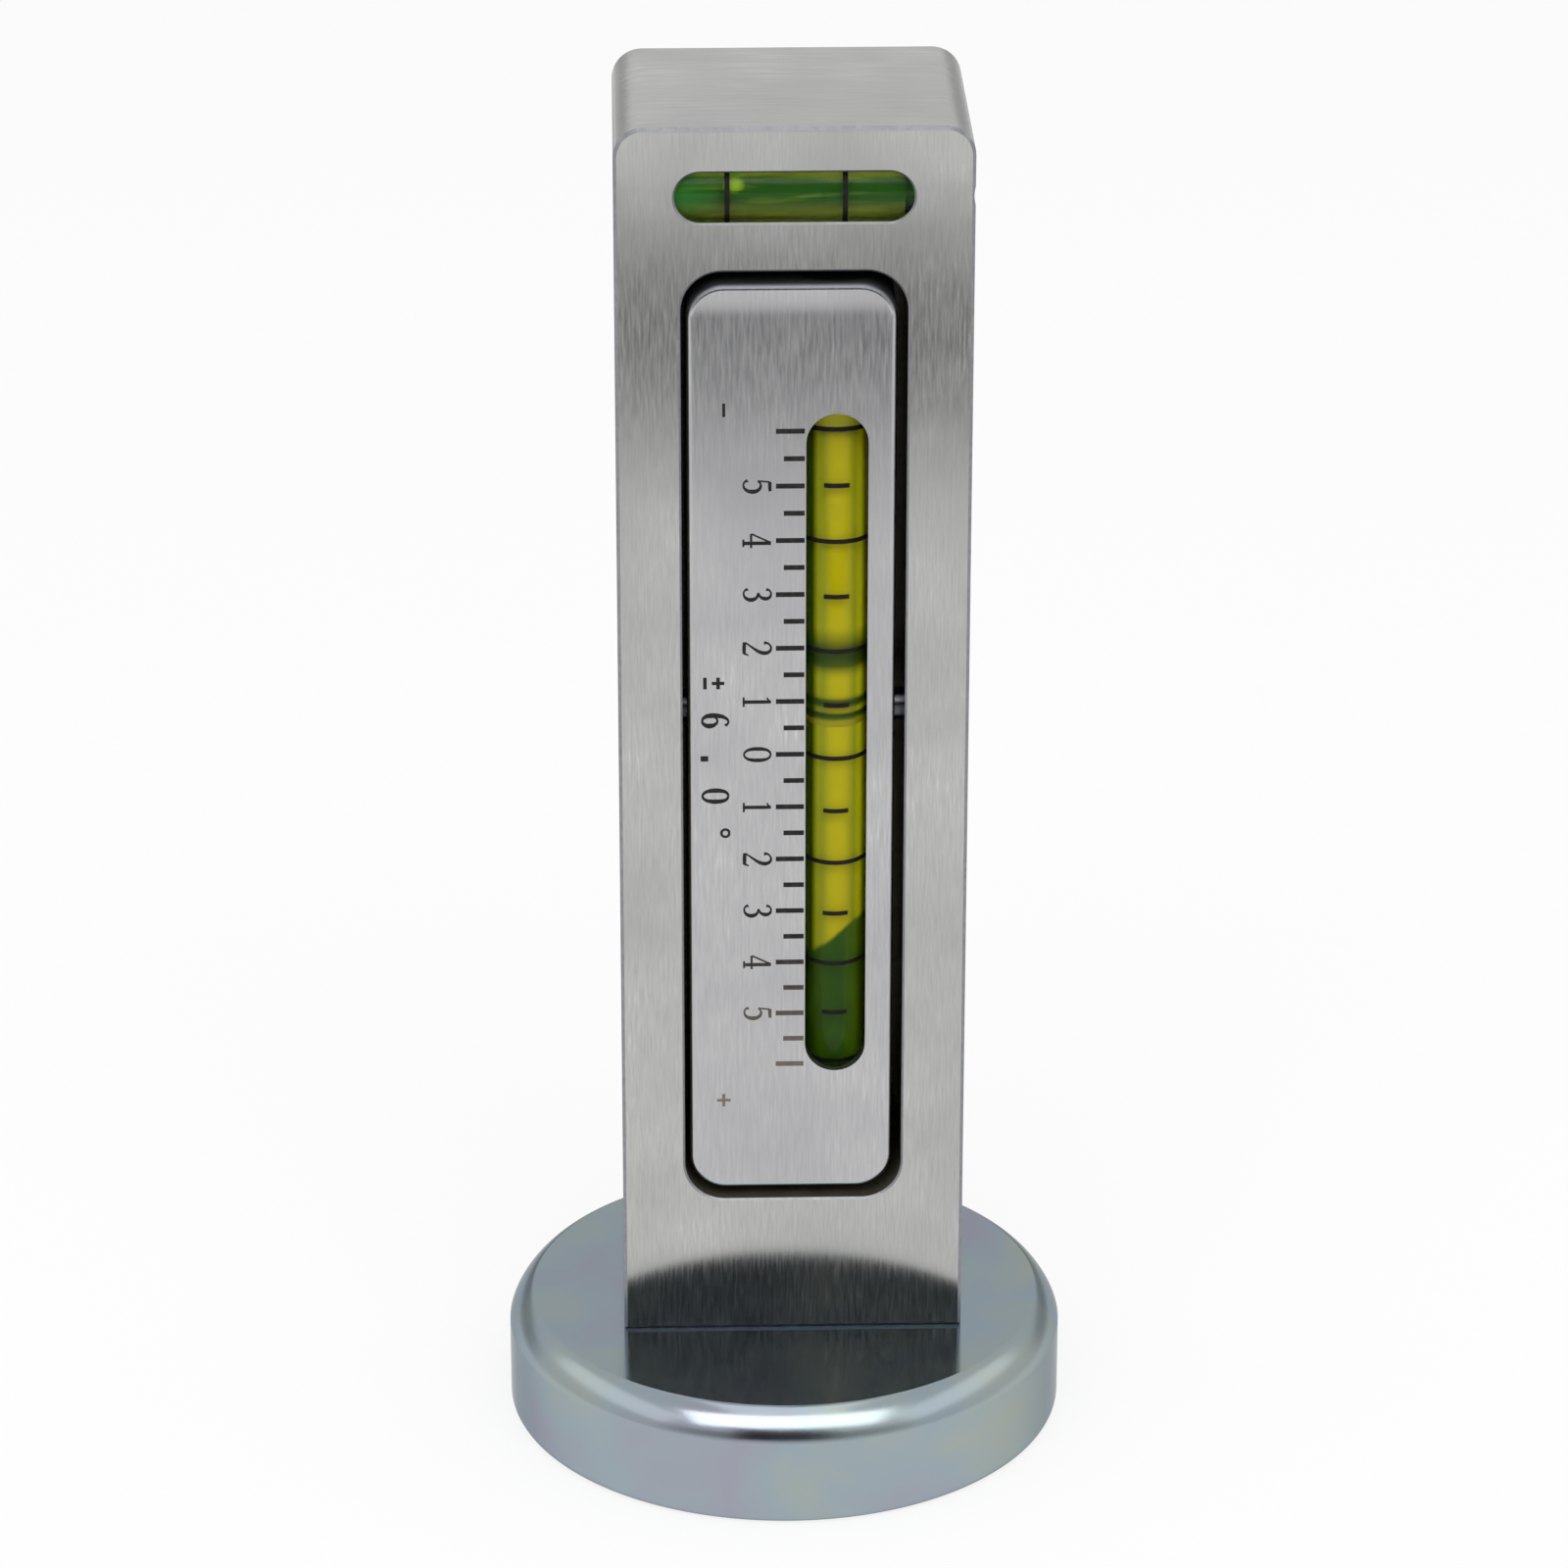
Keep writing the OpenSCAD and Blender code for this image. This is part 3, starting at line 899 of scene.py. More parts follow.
# ---------------------------------------------------------------- modelling by hand


def only(*objects: bpy.types.Object) -> None:
    """Makes these objects the whole selection, with the first one active.

    Args:
        *objects: The objects. Without any, nothing stays selected.
    """
    if bpy.context.mode != "OBJECT":
        bpy.ops.object.mode_set(mode="OBJECT")
    bpy.ops.object.select_all(action="DESELECT")
    for each in objects:
        each.select_set(True)
    if objects:
        bpy.context.view_layer.objects.active = objects[0]


def open_mesh(piece: bpy.types.Object) -> None:
    """Goes into edit mode on one piece."""
    only(piece)
    bpy.ops.object.mode_set(mode="EDIT")


def close_mesh() -> None:
    """Leaves edit mode."""
    bpy.ops.object.mode_set(mode="OBJECT")


def pick(piece: bpy.types.Object, part: Part, test: Callable[[object], bool]) -> None:
    """Selects what passes a test, in edit mode.

    Args:
        piece: The piece in edit mode.
        part: Points, edges or faces.
        test: Says of one of them whether it is wanted.
    """
    bpy.ops.mesh.select_mode(type=part.value)
    bpy.ops.mesh.select_all(action="DESELECT")
    shape = bmesh.from_edit_mesh(piece.data)
    items = {Part.POINTS: shape.verts, Part.EDGES: shape.edges, Part.FACES: shape.faces}[part]
    for item in [item for item in items if test(item)]:
        item.select_set(True)
    bmesh.update_edit_mesh(piece.data)


def even_flats(piece: bpy.types.Object) -> None:
    """Keeps flat faces flat beside smooth rounds, by weighting normals by area.

    Args:
        piece: The piece.
    """
    weigh = piece.modifiers.new("even_flats", "WEIGHTED_NORMAL")
    weigh.weight, weigh.keep_sharp = 100, True
    only(piece)
    bpy.ops.object.modifier_apply(modifier=weigh.name)


def tidy(piece: bpy.types.Object, angle: float = 35.0) -> None:
    """Merges doubles, turns the faces outwards and smooths all but sharp edges.

    Args:
        piece: The piece.
        angle: The angle in degrees past which an edge stays sharp.
    """
    open_mesh(piece)
    bpy.ops.mesh.select_all(action="SELECT")
    bpy.ops.mesh.remove_doubles(threshold=NEAR / 10)
    bpy.ops.mesh.normals_make_consistent(inside=False)
    close_mesh()
    bpy.ops.object.shade_smooth_by_angle(angle=math.radians(angle))


def settle(piece: bpy.types.Object) -> None:
    """Puts a piece's place into its mesh."""
    only(piece)
    bpy.ops.object.transform_apply(location=True, rotation=True, scale=True)


def copy_of(piece: bpy.types.Object, move: Triple) -> bpy.types.Object:
    """Copies a piece with a mesh of its own.

    Args:
        piece: The piece that is copied.
        move: How far the copy is moved, in millimetres.

    Returns:
        The copy.
    """
    only(piece)
    bpy.ops.object.duplicate(linked=False)
    made = bpy.context.object
    made.location = [a * MM for a in move]
    settle(made)
    return made


def joined(pieces: Sequence[bpy.types.Object]) -> bpy.types.Object:
    """Joins pieces of one kind into one.

    Args:
        pieces: The pieces. The first one stays.

    Returns:
        The joined piece.
    """
    only(*pieces)
    bpy.ops.object.join()
    return bpy.context.object


def skin_of(
    node: str,
    materials: Sequence[bpy.types.Material],
    choose: Callable[[Vector, Vector], int],
) -> bpy.types.Object:
    """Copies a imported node's mesh as one skin with flat faces and smooth rounds.

    Args:
        node: The node's name.
        materials: The skin's materials.
        choose: Gives a face's material number from its middle in millimetres and
            its normal.

    Returns:
        The skin.
    """
    made = bpy.data.objects.new(node + "_skin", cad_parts[node].data.copy())
    bpy.context.scene.collection.objects.link(made)
    only(made)
    if made.data.has_custom_normals:
        bpy.ops.mesh.customdata_custom_splitnormals_clear()
    made.data.materials.clear()
    for material in materials:
        made.data.materials.append(material)
    open_mesh(made)
    bpy.ops.mesh.select_all(action="SELECT")
    bpy.ops.mesh.remove_doubles(threshold=NEAR)
    bpy.ops.mesh.dissolve_limited(angle_limit=math.radians(FLAT_ANGLE))
    close_mesh()
    for face in made.data.polygons:
        face.material_index = choose(face.center / MM, face.normal)
    bpy.ops.object.shade_smooth_by_angle(angle=math.radians(SKIN_ANGLE))
    even_flats(made)
    return made


@dataclass
class SubAssembly:
    """Pieces that are made and dressed together."""

    def keep(
        self,
        piece: bpy.types.Object,
        name: str,
        material: bpy.types.Material,
        body: Body,
        slot: Slot,
        nodes: Sequence[str] = (),
    ) -> None:
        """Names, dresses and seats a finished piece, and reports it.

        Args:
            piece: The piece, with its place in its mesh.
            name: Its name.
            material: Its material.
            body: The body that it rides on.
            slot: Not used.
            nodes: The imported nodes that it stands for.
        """
        piece.name = piece.data.name = name
        if not piece.data.materials:
            piece.data.materials.append(material)
        piece.data.materials[0] = material
        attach(piece, body.value)
        if nodes:
            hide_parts(*nodes)
        LOG.info("%s: %d faces, on %s", name, len(piece.data.polygons), body.value)

    def dress(self, material: bpy.types.Material, *nodes: str) -> None:
        """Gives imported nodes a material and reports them.

        Args:
            material: The material.
            *nodes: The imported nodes' names.
        """
        for node in nodes:
            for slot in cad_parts[node].material_slots:
                slot.material = material
            LOG.info("%s: dressed as %s", node, material.name)


# ---------------------------------------------------------------- the foot


@dataclass
class MagnetFoot(SubAssembly):
    """The pot magnet that the gauge stands on."""

    radius: float = 21.0
    height: float = 9.0
    wall: float = 2.0
    ring_height: float = 6.5
    # The shoulder's reach inwards and downwards, and its curve: see quarter.
    shoulder_in: float = 1.8
    shoulder_down: float = 2.4
    fullness: float = 1.4
    steps: int = 20
    root: float = 0.8
    screw_radius: float = 2.55
    head_radius: float = 4.65
    rim_break: float = 0.2
    rim_round: float = 0.7
    rim_steps: int = 5
    around: int = 192

    def quarter(self, wide: float, tall: float, fullness: float) -> list[tuple[float, float]]:
        """Gives the points of a rounded quarter.

        Args:
            wide: How far it reaches in.
            tall: How far it reaches up.
            fullness: 2 for a plain ellipse, and less for a flatter curve.

        Returns:
            Points from (wide, 0) to (0, tall).
        """
        turns = (math.pi / 2 * step / self.steps for step in range(self.steps + 1))
        return [
            (wide * max(math.cos(t), 0) ** (2 / fullness), tall * math.sin(t) ** (2 / fullness))
            for t in turns
        ]

    def draw_on(self, path: Iterable[tuple[float, float]], start: tuple[float, float]) -> None:
        """Extrudes the selected disc along a path, as a press draws a cup.

        Args:
            path: Radius and height of each step, in millimetres.
            start: The disc's radius and height now.
        """
        now = start
        for radius, level in path:
            rise = (0, 0, (level - now[1]) * MM)
            bpy.ops.mesh.extrude_region_move(TRANSFORM_OT_translate={"value": rise})
            share = radius / now[0]
            bpy.ops.transform.resize(
                value=(share, share, 1), center_override=(0, 0, level * MM)
            )
            now = (radius, level)

    def cup(self) -> bpy.types.Object:
        """Draws the steel cup from a round blank.

        Returns:
            The cup, open below.
        """
        base = self.height - self.shoulder_down
        only()
        bpy.ops.mesh.primitive_cylinder_add(
            vertices=self.around, radius=self.radius * MM, depth=base * MM,
            location=(0, 0, base / 2 * MM),
        )
        cup = bpy.context.object
        settle(cup)
        open_mesh(cup)
        pick(cup, Part.FACES, lambda face: face.normal.z > FACING)
        inner = self.radius - self.shoulder_in
        shoulder = self.quarter(self.shoulder_in, self.shoulder_down, self.fullness)[1:]
        path = [(inner + wide, base + tall) for wide, tall in shoulder]
        path.append((self.screw_radius, self.height))
        self.draw_on(path, (self.radius, base))
        bpy.ops.mesh.delete(type="FACE")
        pick(cup, Part.FACES, lambda face: face.normal.z < -FACING)
        cavity = self.radius - self.wall
        straight = self.ring_height - self.root
        root = self.quarter(self.root, self.root, 2)[1:]
        countersunk = self.ring_height + self.head_radius - self.screw_radius
        path = [
            (cavity + self.rim_break, 0),
            (cavity, self.rim_break),
            (cavity, straight),
            *((cavity - self.root + wide, straight + tall) for wide, tall in root),
            (self.head_radius, self.ring_height),
            (self.screw_radius, countersunk),
            (self.screw_radius, self.height),
        ]
        self.draw_on(path, (self.radius, 0))
        bpy.ops.mesh.delete(type="FACE")
        close_mesh()
        self.round_rim(cup)
        tidy(cup)
        even_flats(cup)
        return cup

    def round_rim(self, cup: bpy.types.Object) -> None:
        """Rounds the rim's outer edge, as the press leaves it.

        Args:
            cup: The cup.
        """
        open_mesh(cup)
        outer = self.radius * MM - 10 * NEAR
        pick(
            cup,
            Part.EDGES,
            lambda edge: all(p.co.z < NEAR and p.co.xy.length > outer for p in edge.verts),
        )
        bpy.ops.mesh.bevel(offset=self.rim_round * MM, segments=self.rim_steps)
        close_mesh()

    def build(self, zinc: ZincPlate, ferrite: Grained, black: Grained) -> None:
        """Builds the cup and dresses the ring and the screw.

        Args:
            zinc: The cup's finish.
            ferrite: The ring's finish.
            black: The finish of all three screws.
        """
        self.keep(self.cup(), "drawn_cup", zinc.make(), Body.BAR, Slot.ZINC, ["magnet_cup"])
        self.dress(ferrite.make(), "magnet_ring")
        self.dress(black.make(), "foot_screw", "adjuster_screw_upper", "adjuster_screw_lower")


# ---------------------------------------------------------------- the bar


@dataclass
class Bar(SubAssembly):
    """The upright bar, its pivot pin and the plug in its side."""

    # A box about the pocket, but for its mouth: X, Y and Z.
    pocket: tuple[Span, Span, Span] = ((-7.9, 8.45), (-6.7, 7.3), (19.7, 92.9))
    # The normal's Y on the edges broken between the front or back and the rest.
    broken: Span = (0.3, 0.95)

    def finish_at(self, middle: Vector, normal: Vector) -> int:
        """Says whether a face is brushed (0), broken (1) or in the pocket (2).

        Args:
            middle: The face's middle in millimetres.
            normal: Its normal.

        Returns:
            The number of its material in the skin.
        """
        if all(low < at < high for (low, high), at in zip(self.pocket, middle)):
            return 2
        return int(self.broken[0] < abs(normal.y) < self.broken[1])

    def build(self, metal: BrushedAluminium, edge: Grained, pocket: Grained, pin: Grained) -> None:
        """Skins the bar and dresses what it holds.

        Args:
            metal: The finish of the bar and its plug.
            edge: The finish of its broken edges, darkened as painted shade.
            pocket: The finish inside its pocket, darkened as painted shade.
            pin: The pivot pin's finish.
        """
        brushed = metal.make()
        skin = skin_of("gauge_bar", [brushed, edge.make(), pocket.make()], self.finish_at)
        self.keep(skin, "brushed_bar", brushed, Body.BAR, Slot.BAR, ["gauge_bar"])
        self.dress(brushed, "cross_bore_plug")
        self.dress(pin.make(), "pivot_pin")


# ---------------------------------------------------------------- the dial

# Strokes of the dial's characters. Each point is x, y and the stroke's width there,
# as shares of the character's height.
Stroke = tuple[tuple[float, float, float], ...]
CHARACTERS: dict[str, tuple[Stroke, ...]] = {
    "0": (
        (
            (0.3, 0.96, 0.05), (0.17, 0.88, 0.07), (0.1, 0.68, 0.1), (0.09, 0.5, 0.11),
            (0.1, 0.32, 0.1), (0.17, 0.12, 0.07), (0.3, 0.04, 0.05), (0.43, 0.12, 0.07),
            (0.5, 0.32, 0.1), (0.51, 0.5, 0.11), (0.5, 0.68, 0.1), (0.43, 0.88, 0.07),
            (0.3, 0.96, 0.05),
        ),
    ),
    "1": (
        ((0.31, 0.96, 0.09), (0.31, 0.7, 0.1), (0.31, 0.3, 0.1), (0.31, 0.03, 0.1)),
        ((0.15, 0.82, 0.04), (0.24, 0.87, 0.05), (0.31, 0.94, 0.06)),
        ((0.13, 0.03, 0.05), (0.31, 0.03, 0.06), (0.49, 0.03, 0.05)),
    ),
    "2": (
        (
            (0.1, 0.72, 0.1), (0.11, 0.84, 0.06), (0.19, 0.93, 0.05), (0.3, 0.96, 0.06),
            (0.42, 0.9, 0.09), (0.47, 0.76, 0.11), (0.43, 0.58, 0.1), (0.31, 0.39, 0.07),
            (0.18, 0.22, 0.05), (0.08, 0.08, 0.05),
        ),
        ((0.07, 0.06, 0.09), (0.28, 0.05, 0.1), (0.5, 0.05, 0.09)),
        ((0.49, 0.05, 0.06), (0.54, 0.2, 0.04)),
    ),
    "3": (
        (
            (0.1, 0.8, 0.09), (0.16, 0.92, 0.05), (0.28, 0.96, 0.05), (0.41, 0.89, 0.09),
            (0.44, 0.75, 0.11), (0.37, 0.6, 0.07), (0.23, 0.53, 0.05),
        ),
        (
            (0.23, 0.53, 0.05), (0.39, 0.48, 0.08), (0.48, 0.31, 0.12), (0.43, 0.13, 0.09),
            (0.29, 0.04, 0.05), (0.15, 0.07, 0.05), (0.09, 0.18, 0.09),
        ),
    ),
    "4": (
        ((0.37, 0.96, 0.05), (0.22, 0.64, 0.05), (0.05, 0.3, 0.05)),
        ((0.05, 0.29, 0.06), (0.3, 0.29, 0.06), (0.56, 0.29, 0.06)),
        ((0.39, 0.96, 0.1), (0.39, 0.5, 0.1), (0.39, 0.03, 0.1)),
        ((0.25, 0.03, 0.05), (0.39, 0.03, 0.06), (0.52, 0.03, 0.05)),
    ),
    "5": (
        ((0.15, 0.92, 0.09), (0.3, 0.92, 0.09), (0.48, 0.93, 0.08)),
        ((0.15, 0.92, 0.05), (0.13, 0.72, 0.05), (0.11, 0.52, 0.05)),
        (
            (0.11, 0.52, 0.05), (0.2, 0.6, 0.05), (0.32, 0.61, 0.07), (0.45, 0.51, 0.1),
            (0.49, 0.33, 0.12), (0.43, 0.13, 0.09), (0.29, 0.04, 0.05), (0.15, 0.07, 0.05),
            (0.09, 0.18, 0.09),
        ),
    ),
    "6": (
        (
            (0.47, 0.84, 0.08), (0.4, 0.93, 0.05), (0.29, 0.95, 0.05), (0.17, 0.83, 0.08),
            (0.1, 0.6, 0.11), (0.09, 0.35, 0.12), (0.15, 0.13, 0.09), (0.29, 0.04, 0.05),
            (0.43, 0.12, 0.09), (0.48, 0.3, 0.12), (0.42, 0.49, 0.08), (0.3, 0.57, 0.05),
            (0.18, 0.52, 0.05), (0.11, 0.4, 0.06),
        ),
    ),
    ".": (((0.2, 0.11, 0.17), (0.4, 0.11, 0.17)),),
    "+": (
        ((0.06, 0.5, 0.08), (0.54, 0.5, 0.08)),
        ((0.3, 0.26, 0.08), (0.3, 0.74, 0.08)),
    ),
    "-": (((0.06, 0.5, 0.08), (0.54, 0.5, 0.08)),),
    "~": (
        ((0.08, 0.6, 0.08), (0.52, 0.6, 0.08)),
        ((0.3, 0.38, 0.08), (0.3, 0.82, 0.08)),
        ((0.08, 0.14, 0.08), (0.52, 0.14, 0.08)),
    ),
    "o": (
        (
            (0.3, 0.98, 0.06), (0.2, 0.94, 0.06), (0.16, 0.84, 0.06), (0.2, 0.74, 0.06),
            (0.3, 0.7, 0.06), (0.4, 0.74, 0.06), (0.44, 0.84, 0.06), (0.4, 0.94, 0.06),
            (0.3, 0.98, 0.06),
        ),
    ),
}


@dataclass
class Dial(SubAssembly):
    """The carrier's face: painted marks, numbers and signs beside the slot."""

    face_y: float = -6.838
    zero_z: float = 55.8951
    pitch: float = 4.148
    degrees: int = 6
    mark_end_x: float = 1.215
    long_mark: float = 2.06
    short_mark: float = 1.5
    mark_width: float = 0.38
    mark_depth: float = 0.12
    # The paint's rim lies a little below the face and its middle sinks deeper.
    fill_below: float = 0.015
    side_play: float = 0.004
    rim_width: float = 0.095
    sunk: float = 0.02
    # The ink's thickness, and the stroke's width that has it.
    ink: float = 0.02
    usual_stroke: float = 0.1
    number_height: float = 2.13
    number_weight: float = 1.3
    number_foot_x: float = -3.24
    # Where a character's middle lies across it, as a share of its height.
    middle_share: float = 0.3
    # The other groups: characters, foot, height, pitch, middle and weight of each.
    groups: tuple[tuple[str, float, float, float, float, float], ...] = (
        ("-", -5.6, 2.1, 0.0, 82.4, 1.3),
        ("+", -5.75, 2.1, 0.0, 28.05, 1.3),
        ("~6.0o", -6.26, 2.07, 2.95, 55.6, 1.6),
    )

    # How round a stroke is, and the steps between two of its points.
    stroke_round: int = 2
    stroke_steps: int = 6

    def stroke(self, points: Stroke, weight: float) -> bpy.types.Object:
        """Lays one stroke of ink, as a flattened round line of varying width.

        Args:
            points: The stroke's points and widths.
            weight: How much bolder than written it is.

        Returns:
            The stroke in the character's own plane, one unit high.
        """
        only()
        bpy.ops.curve.primitive_bezier_curve_add(radius=1, location=(0, 0, 0))
        line = bpy.context.object
        shape = line.data
        shape.dimensions, shape.use_fill_caps = "3D", True
        shape.bevel_depth = 1 / 2
        shape.bevel_resolution = self.stroke_round
        shape.resolution_u = self.stroke_steps
        spline = shape.splines[0]
        spline.bezier_points.add(len(points) - 2)
        for point, (x, y, width) in zip(spline.bezier_points, points):
            point.co = (x, y, 0)
            point.radius = width * weight
            point.handle_left_type = point.handle_right_type = "AUTO"
        bpy.ops.object.convert(target="MESH")
        return bpy.context.object

    def character(
        self, sign: str, foot_x: float, height: float, middle_z: float, weight: float
    ) -> bpy.types.Object:
        """Makes a character that reads from the gauge's left side.

        Args:
            sign: The character.
            foot_x: Where its foot line lies.
            height: Its height, along +X.
            middle_z: The height of its middle on the dial.
            weight: How bold it is.

        Returns:
            The character, half sunk in the carrier's face.
        """
        made = joined([self.stroke(points, weight) for points in CHARACTERS[sign]])
        across = Matrix(((0, 1, 0), (0, 0, -1), (-1, 0, 0))).to_4x4()
        thick = self.ink / self.usual_stroke
        size = Matrix.Diagonal((height * MM, height * MM, thick * MM, 1))
        place = (foot_x * MM, self.face_y * MM, (middle_z + self.middle_share * height) * MM)
        made.matrix_world = Matrix.Translation(place) @ across @ size
        settle(made)
        tidy(made, angle=80)
        return made

    def numbers(self) -> bpy.types.Object:
        """Prints the degrees beside their marks.

        Returns:
            The numbers, as one piece.
        """
        signs = []
        for degree in range(1 - self.degrees, self.degrees):
            level = self.zero_z - degree * self.pitch
            look = (self.number_foot_x, self.number_height, level, self.number_weight)
            signs.append(self.character(str(abs(degree)), *look))
        return joined(signs)

    def group(
        self, signs: str, foot: float, height: float, pitch: float, middle: float, weight: float
    ) -> bpy.types.Object:
        """Prints characters one under another, which reads from the left side.

        Args:
            signs: The characters, from the highest to the lowest.
            foot: Where their foot line lies.
            height: Their height, along +X.
            pitch: How far apart they are.
            middle: The height of the group's middle on the dial.
            weight: How bold they are.

        Returns:
            The characters, as one piece.
        """
        first = middle + pitch * (len(signs) - 1) / 2
        return joined(
            [
                self.character(sign, foot, height, first - pitch * number, weight)
                for number, sign in enumerate(signs)
            ]
        )

    def mark(self, length: float) -> bpy.types.Object:
        """Fills one mark at zero height with paint whose face sinks in the middle.

        Args:
            length: The mark's length.

        Returns:
            The filled mark.
        """
        size = (
            length - 2 * self.side_play,
            self.mark_depth - self.fill_below,
            self.mark_width - 2 * self.side_play,
        )
        depth = self.face_y + self.fill_below + size[1] / 2
        only()
        bpy.ops.mesh.primitive_cube_add(
            size=1,
            location=((self.mark_end_x - length / 2) * MM, depth * MM, 0),
            scale=[a * MM for a in size],
        )
        made = bpy.context.object
        settle(made)
        open_mesh(made)
        pick(made, Part.FACES, lambda face: face.normal.y < -FACING)
        bpy.ops.mesh.inset(thickness=self.rim_width * MM)
        bpy.ops.transform.translate(value=(0, self.sunk * MM, 0))
        close_mesh()
        return made

    def marks(self) -> bpy.types.Object:
        """Paints a long mark each degree and a short one each half degree.

        Returns:
            The filled marks, as one piece.
        """
        patterns = [self.mark(self.long_mark), self.mark(self.short_mark)]
        filled = []
        for half in range(-2 * self.degrees, 2 * self.degrees + 1):
            level = self.zero_z + half * self.pitch / 2
            filled.append(copy_of(patterns[half % 2], (0, 0, level)))
        for pattern in patterns:
            bpy.data.objects.remove(pattern)
        made = joined(filled)
        tidy(made, angle=40)
        return made

    def build(self, metal: BrushedAluminium, paint: MarkPaint) -> None:
        """Builds the carrier's skin, its marks, numbers and signs.

        Args:
            metal: The plate's finish.
            paint: The finish of marks and characters.
        """
        brushed, black = metal.make(), paint.make()
        skin = skin_of("vial_carrier", [brushed], lambda middle, normal: 0)
        self.keep(skin, "dial_plate", brushed, Body.CARRIER, Slot.CARRIER, ["vial_carrier"])
        self.dress(brushed, "carrier_bore_plug")
        self.keep(self.marks(), "painted_marks", black, Body.CARRIER, Slot.BLACK)
        self.keep(self.numbers(), "dial_numbers", black, Body.CARRIER, Slot.BLACK)
        names = ("minus_sign", "plus_sign", "range_figures")
        for name, group in zip(names, self.groups):
            self.keep(self.group(*group), name, black, Body.CARRIER, Slot.BLACK)


# ---------------------------------------------------------------- the vials


@dataclass
class Vial(SubAssembly):
    """What both vials share: rings, balls, walls and printed lines."""

    points: int = 96
    ball_rings: int = 32
    line_relief: float = 0.02

    def ring(
        self, radius: float, place: Triple, filled: bool = False, lying: bool = False
    ) -> bpy.types.Object:
        """Adds a circle across a vial.

        Args:
            radius: Its radius.
            place: Its middle.
            filled: Whether it is a disc.
            lying: Whether its vial lies along X and doesn't stand.

        Returns:
            The circle.
        """
        only()
        bpy.ops.mesh.primitive_circle_add(
            vertices=self.points,
            radius=radius * MM,
            fill_type="NGON" if filled else "NOTHING",
            location=[a * MM for a in place],
            rotation=(0, math.pi / 2 if lying else 0, 0),
        )
        made = bpy.context.object
        settle(made)
        return made

    def ball(self, radius: float, place: Triple, lying: bool = False) -> bpy.types.Object:
        """Adds a ball whose poles lie along a vial.

        Args:
            radius: Its radius.
            place: Its middle.
            lying: Whether its vial lies along X and doesn't stand.

        Returns:
            The ball.
        """
        only()
        bpy.ops.mesh.primitive_uv_sphere_add(
            segments=self.points,
            ring_count=self.ball_rings,
            radius=radius * MM,
            location=[a * MM for a in place],
            rotation=(0, math.pi / 2 if lying else 0, 0),
        )
        made = bpy.context.object
        settle(made)
        return made

    def bridged(self, *rings: bpy.types.Object) -> bpy.types.Object:
        """Bridges two rings to the flat end of a tube.

        Args:
            *rings: The outer ring and the inner one.

        Returns:
            The flat ring.
        """
        made = joined(rings)
        open_mesh(made)
        bpy.ops.mesh.select_all(action="SELECT")
        bpy.ops.mesh.bridge_edge_loops()
        close_mesh()
        return made

    def thicken(self, line: bpy.types.Object) -> None:
        """Gives a printed line its relief, half of it in the tube.

        Args:
            line: The line, as a band with no thickness.
        """
        wall = line.modifiers.new("ink", "SOLIDIFY")
        wall.thickness = 2 * self.line_relief * MM
        wall.offset = 0
        only(line)
        bpy.ops.object.modifier_apply(modifier=wall.name)

    def part_walls(
        self,
        tube: bpy.types.Object,
        acrylic: CastAcrylic,
        wetted: CastAcrylic,
        in_bore: Callable[[bpy.types.MeshPolygon], bool],
    ) -> bpy.types.Material:
        """Gives a tube one material outside and another in its bore.

        Args:
            tube: The tube.
            acrylic: The finish outside.
            wetted: The finish in the bore.
            in_bore: Says whether a face is in the bore.

        Returns:
            The material outside.
        """
        outside = acrylic.make()
        tube.data.materials.append(outside)
        tube.data.materials.append(wetted.make())
        for face in tube.data.polygons:
            face.material_index = int(in_bore(face))
        return outside


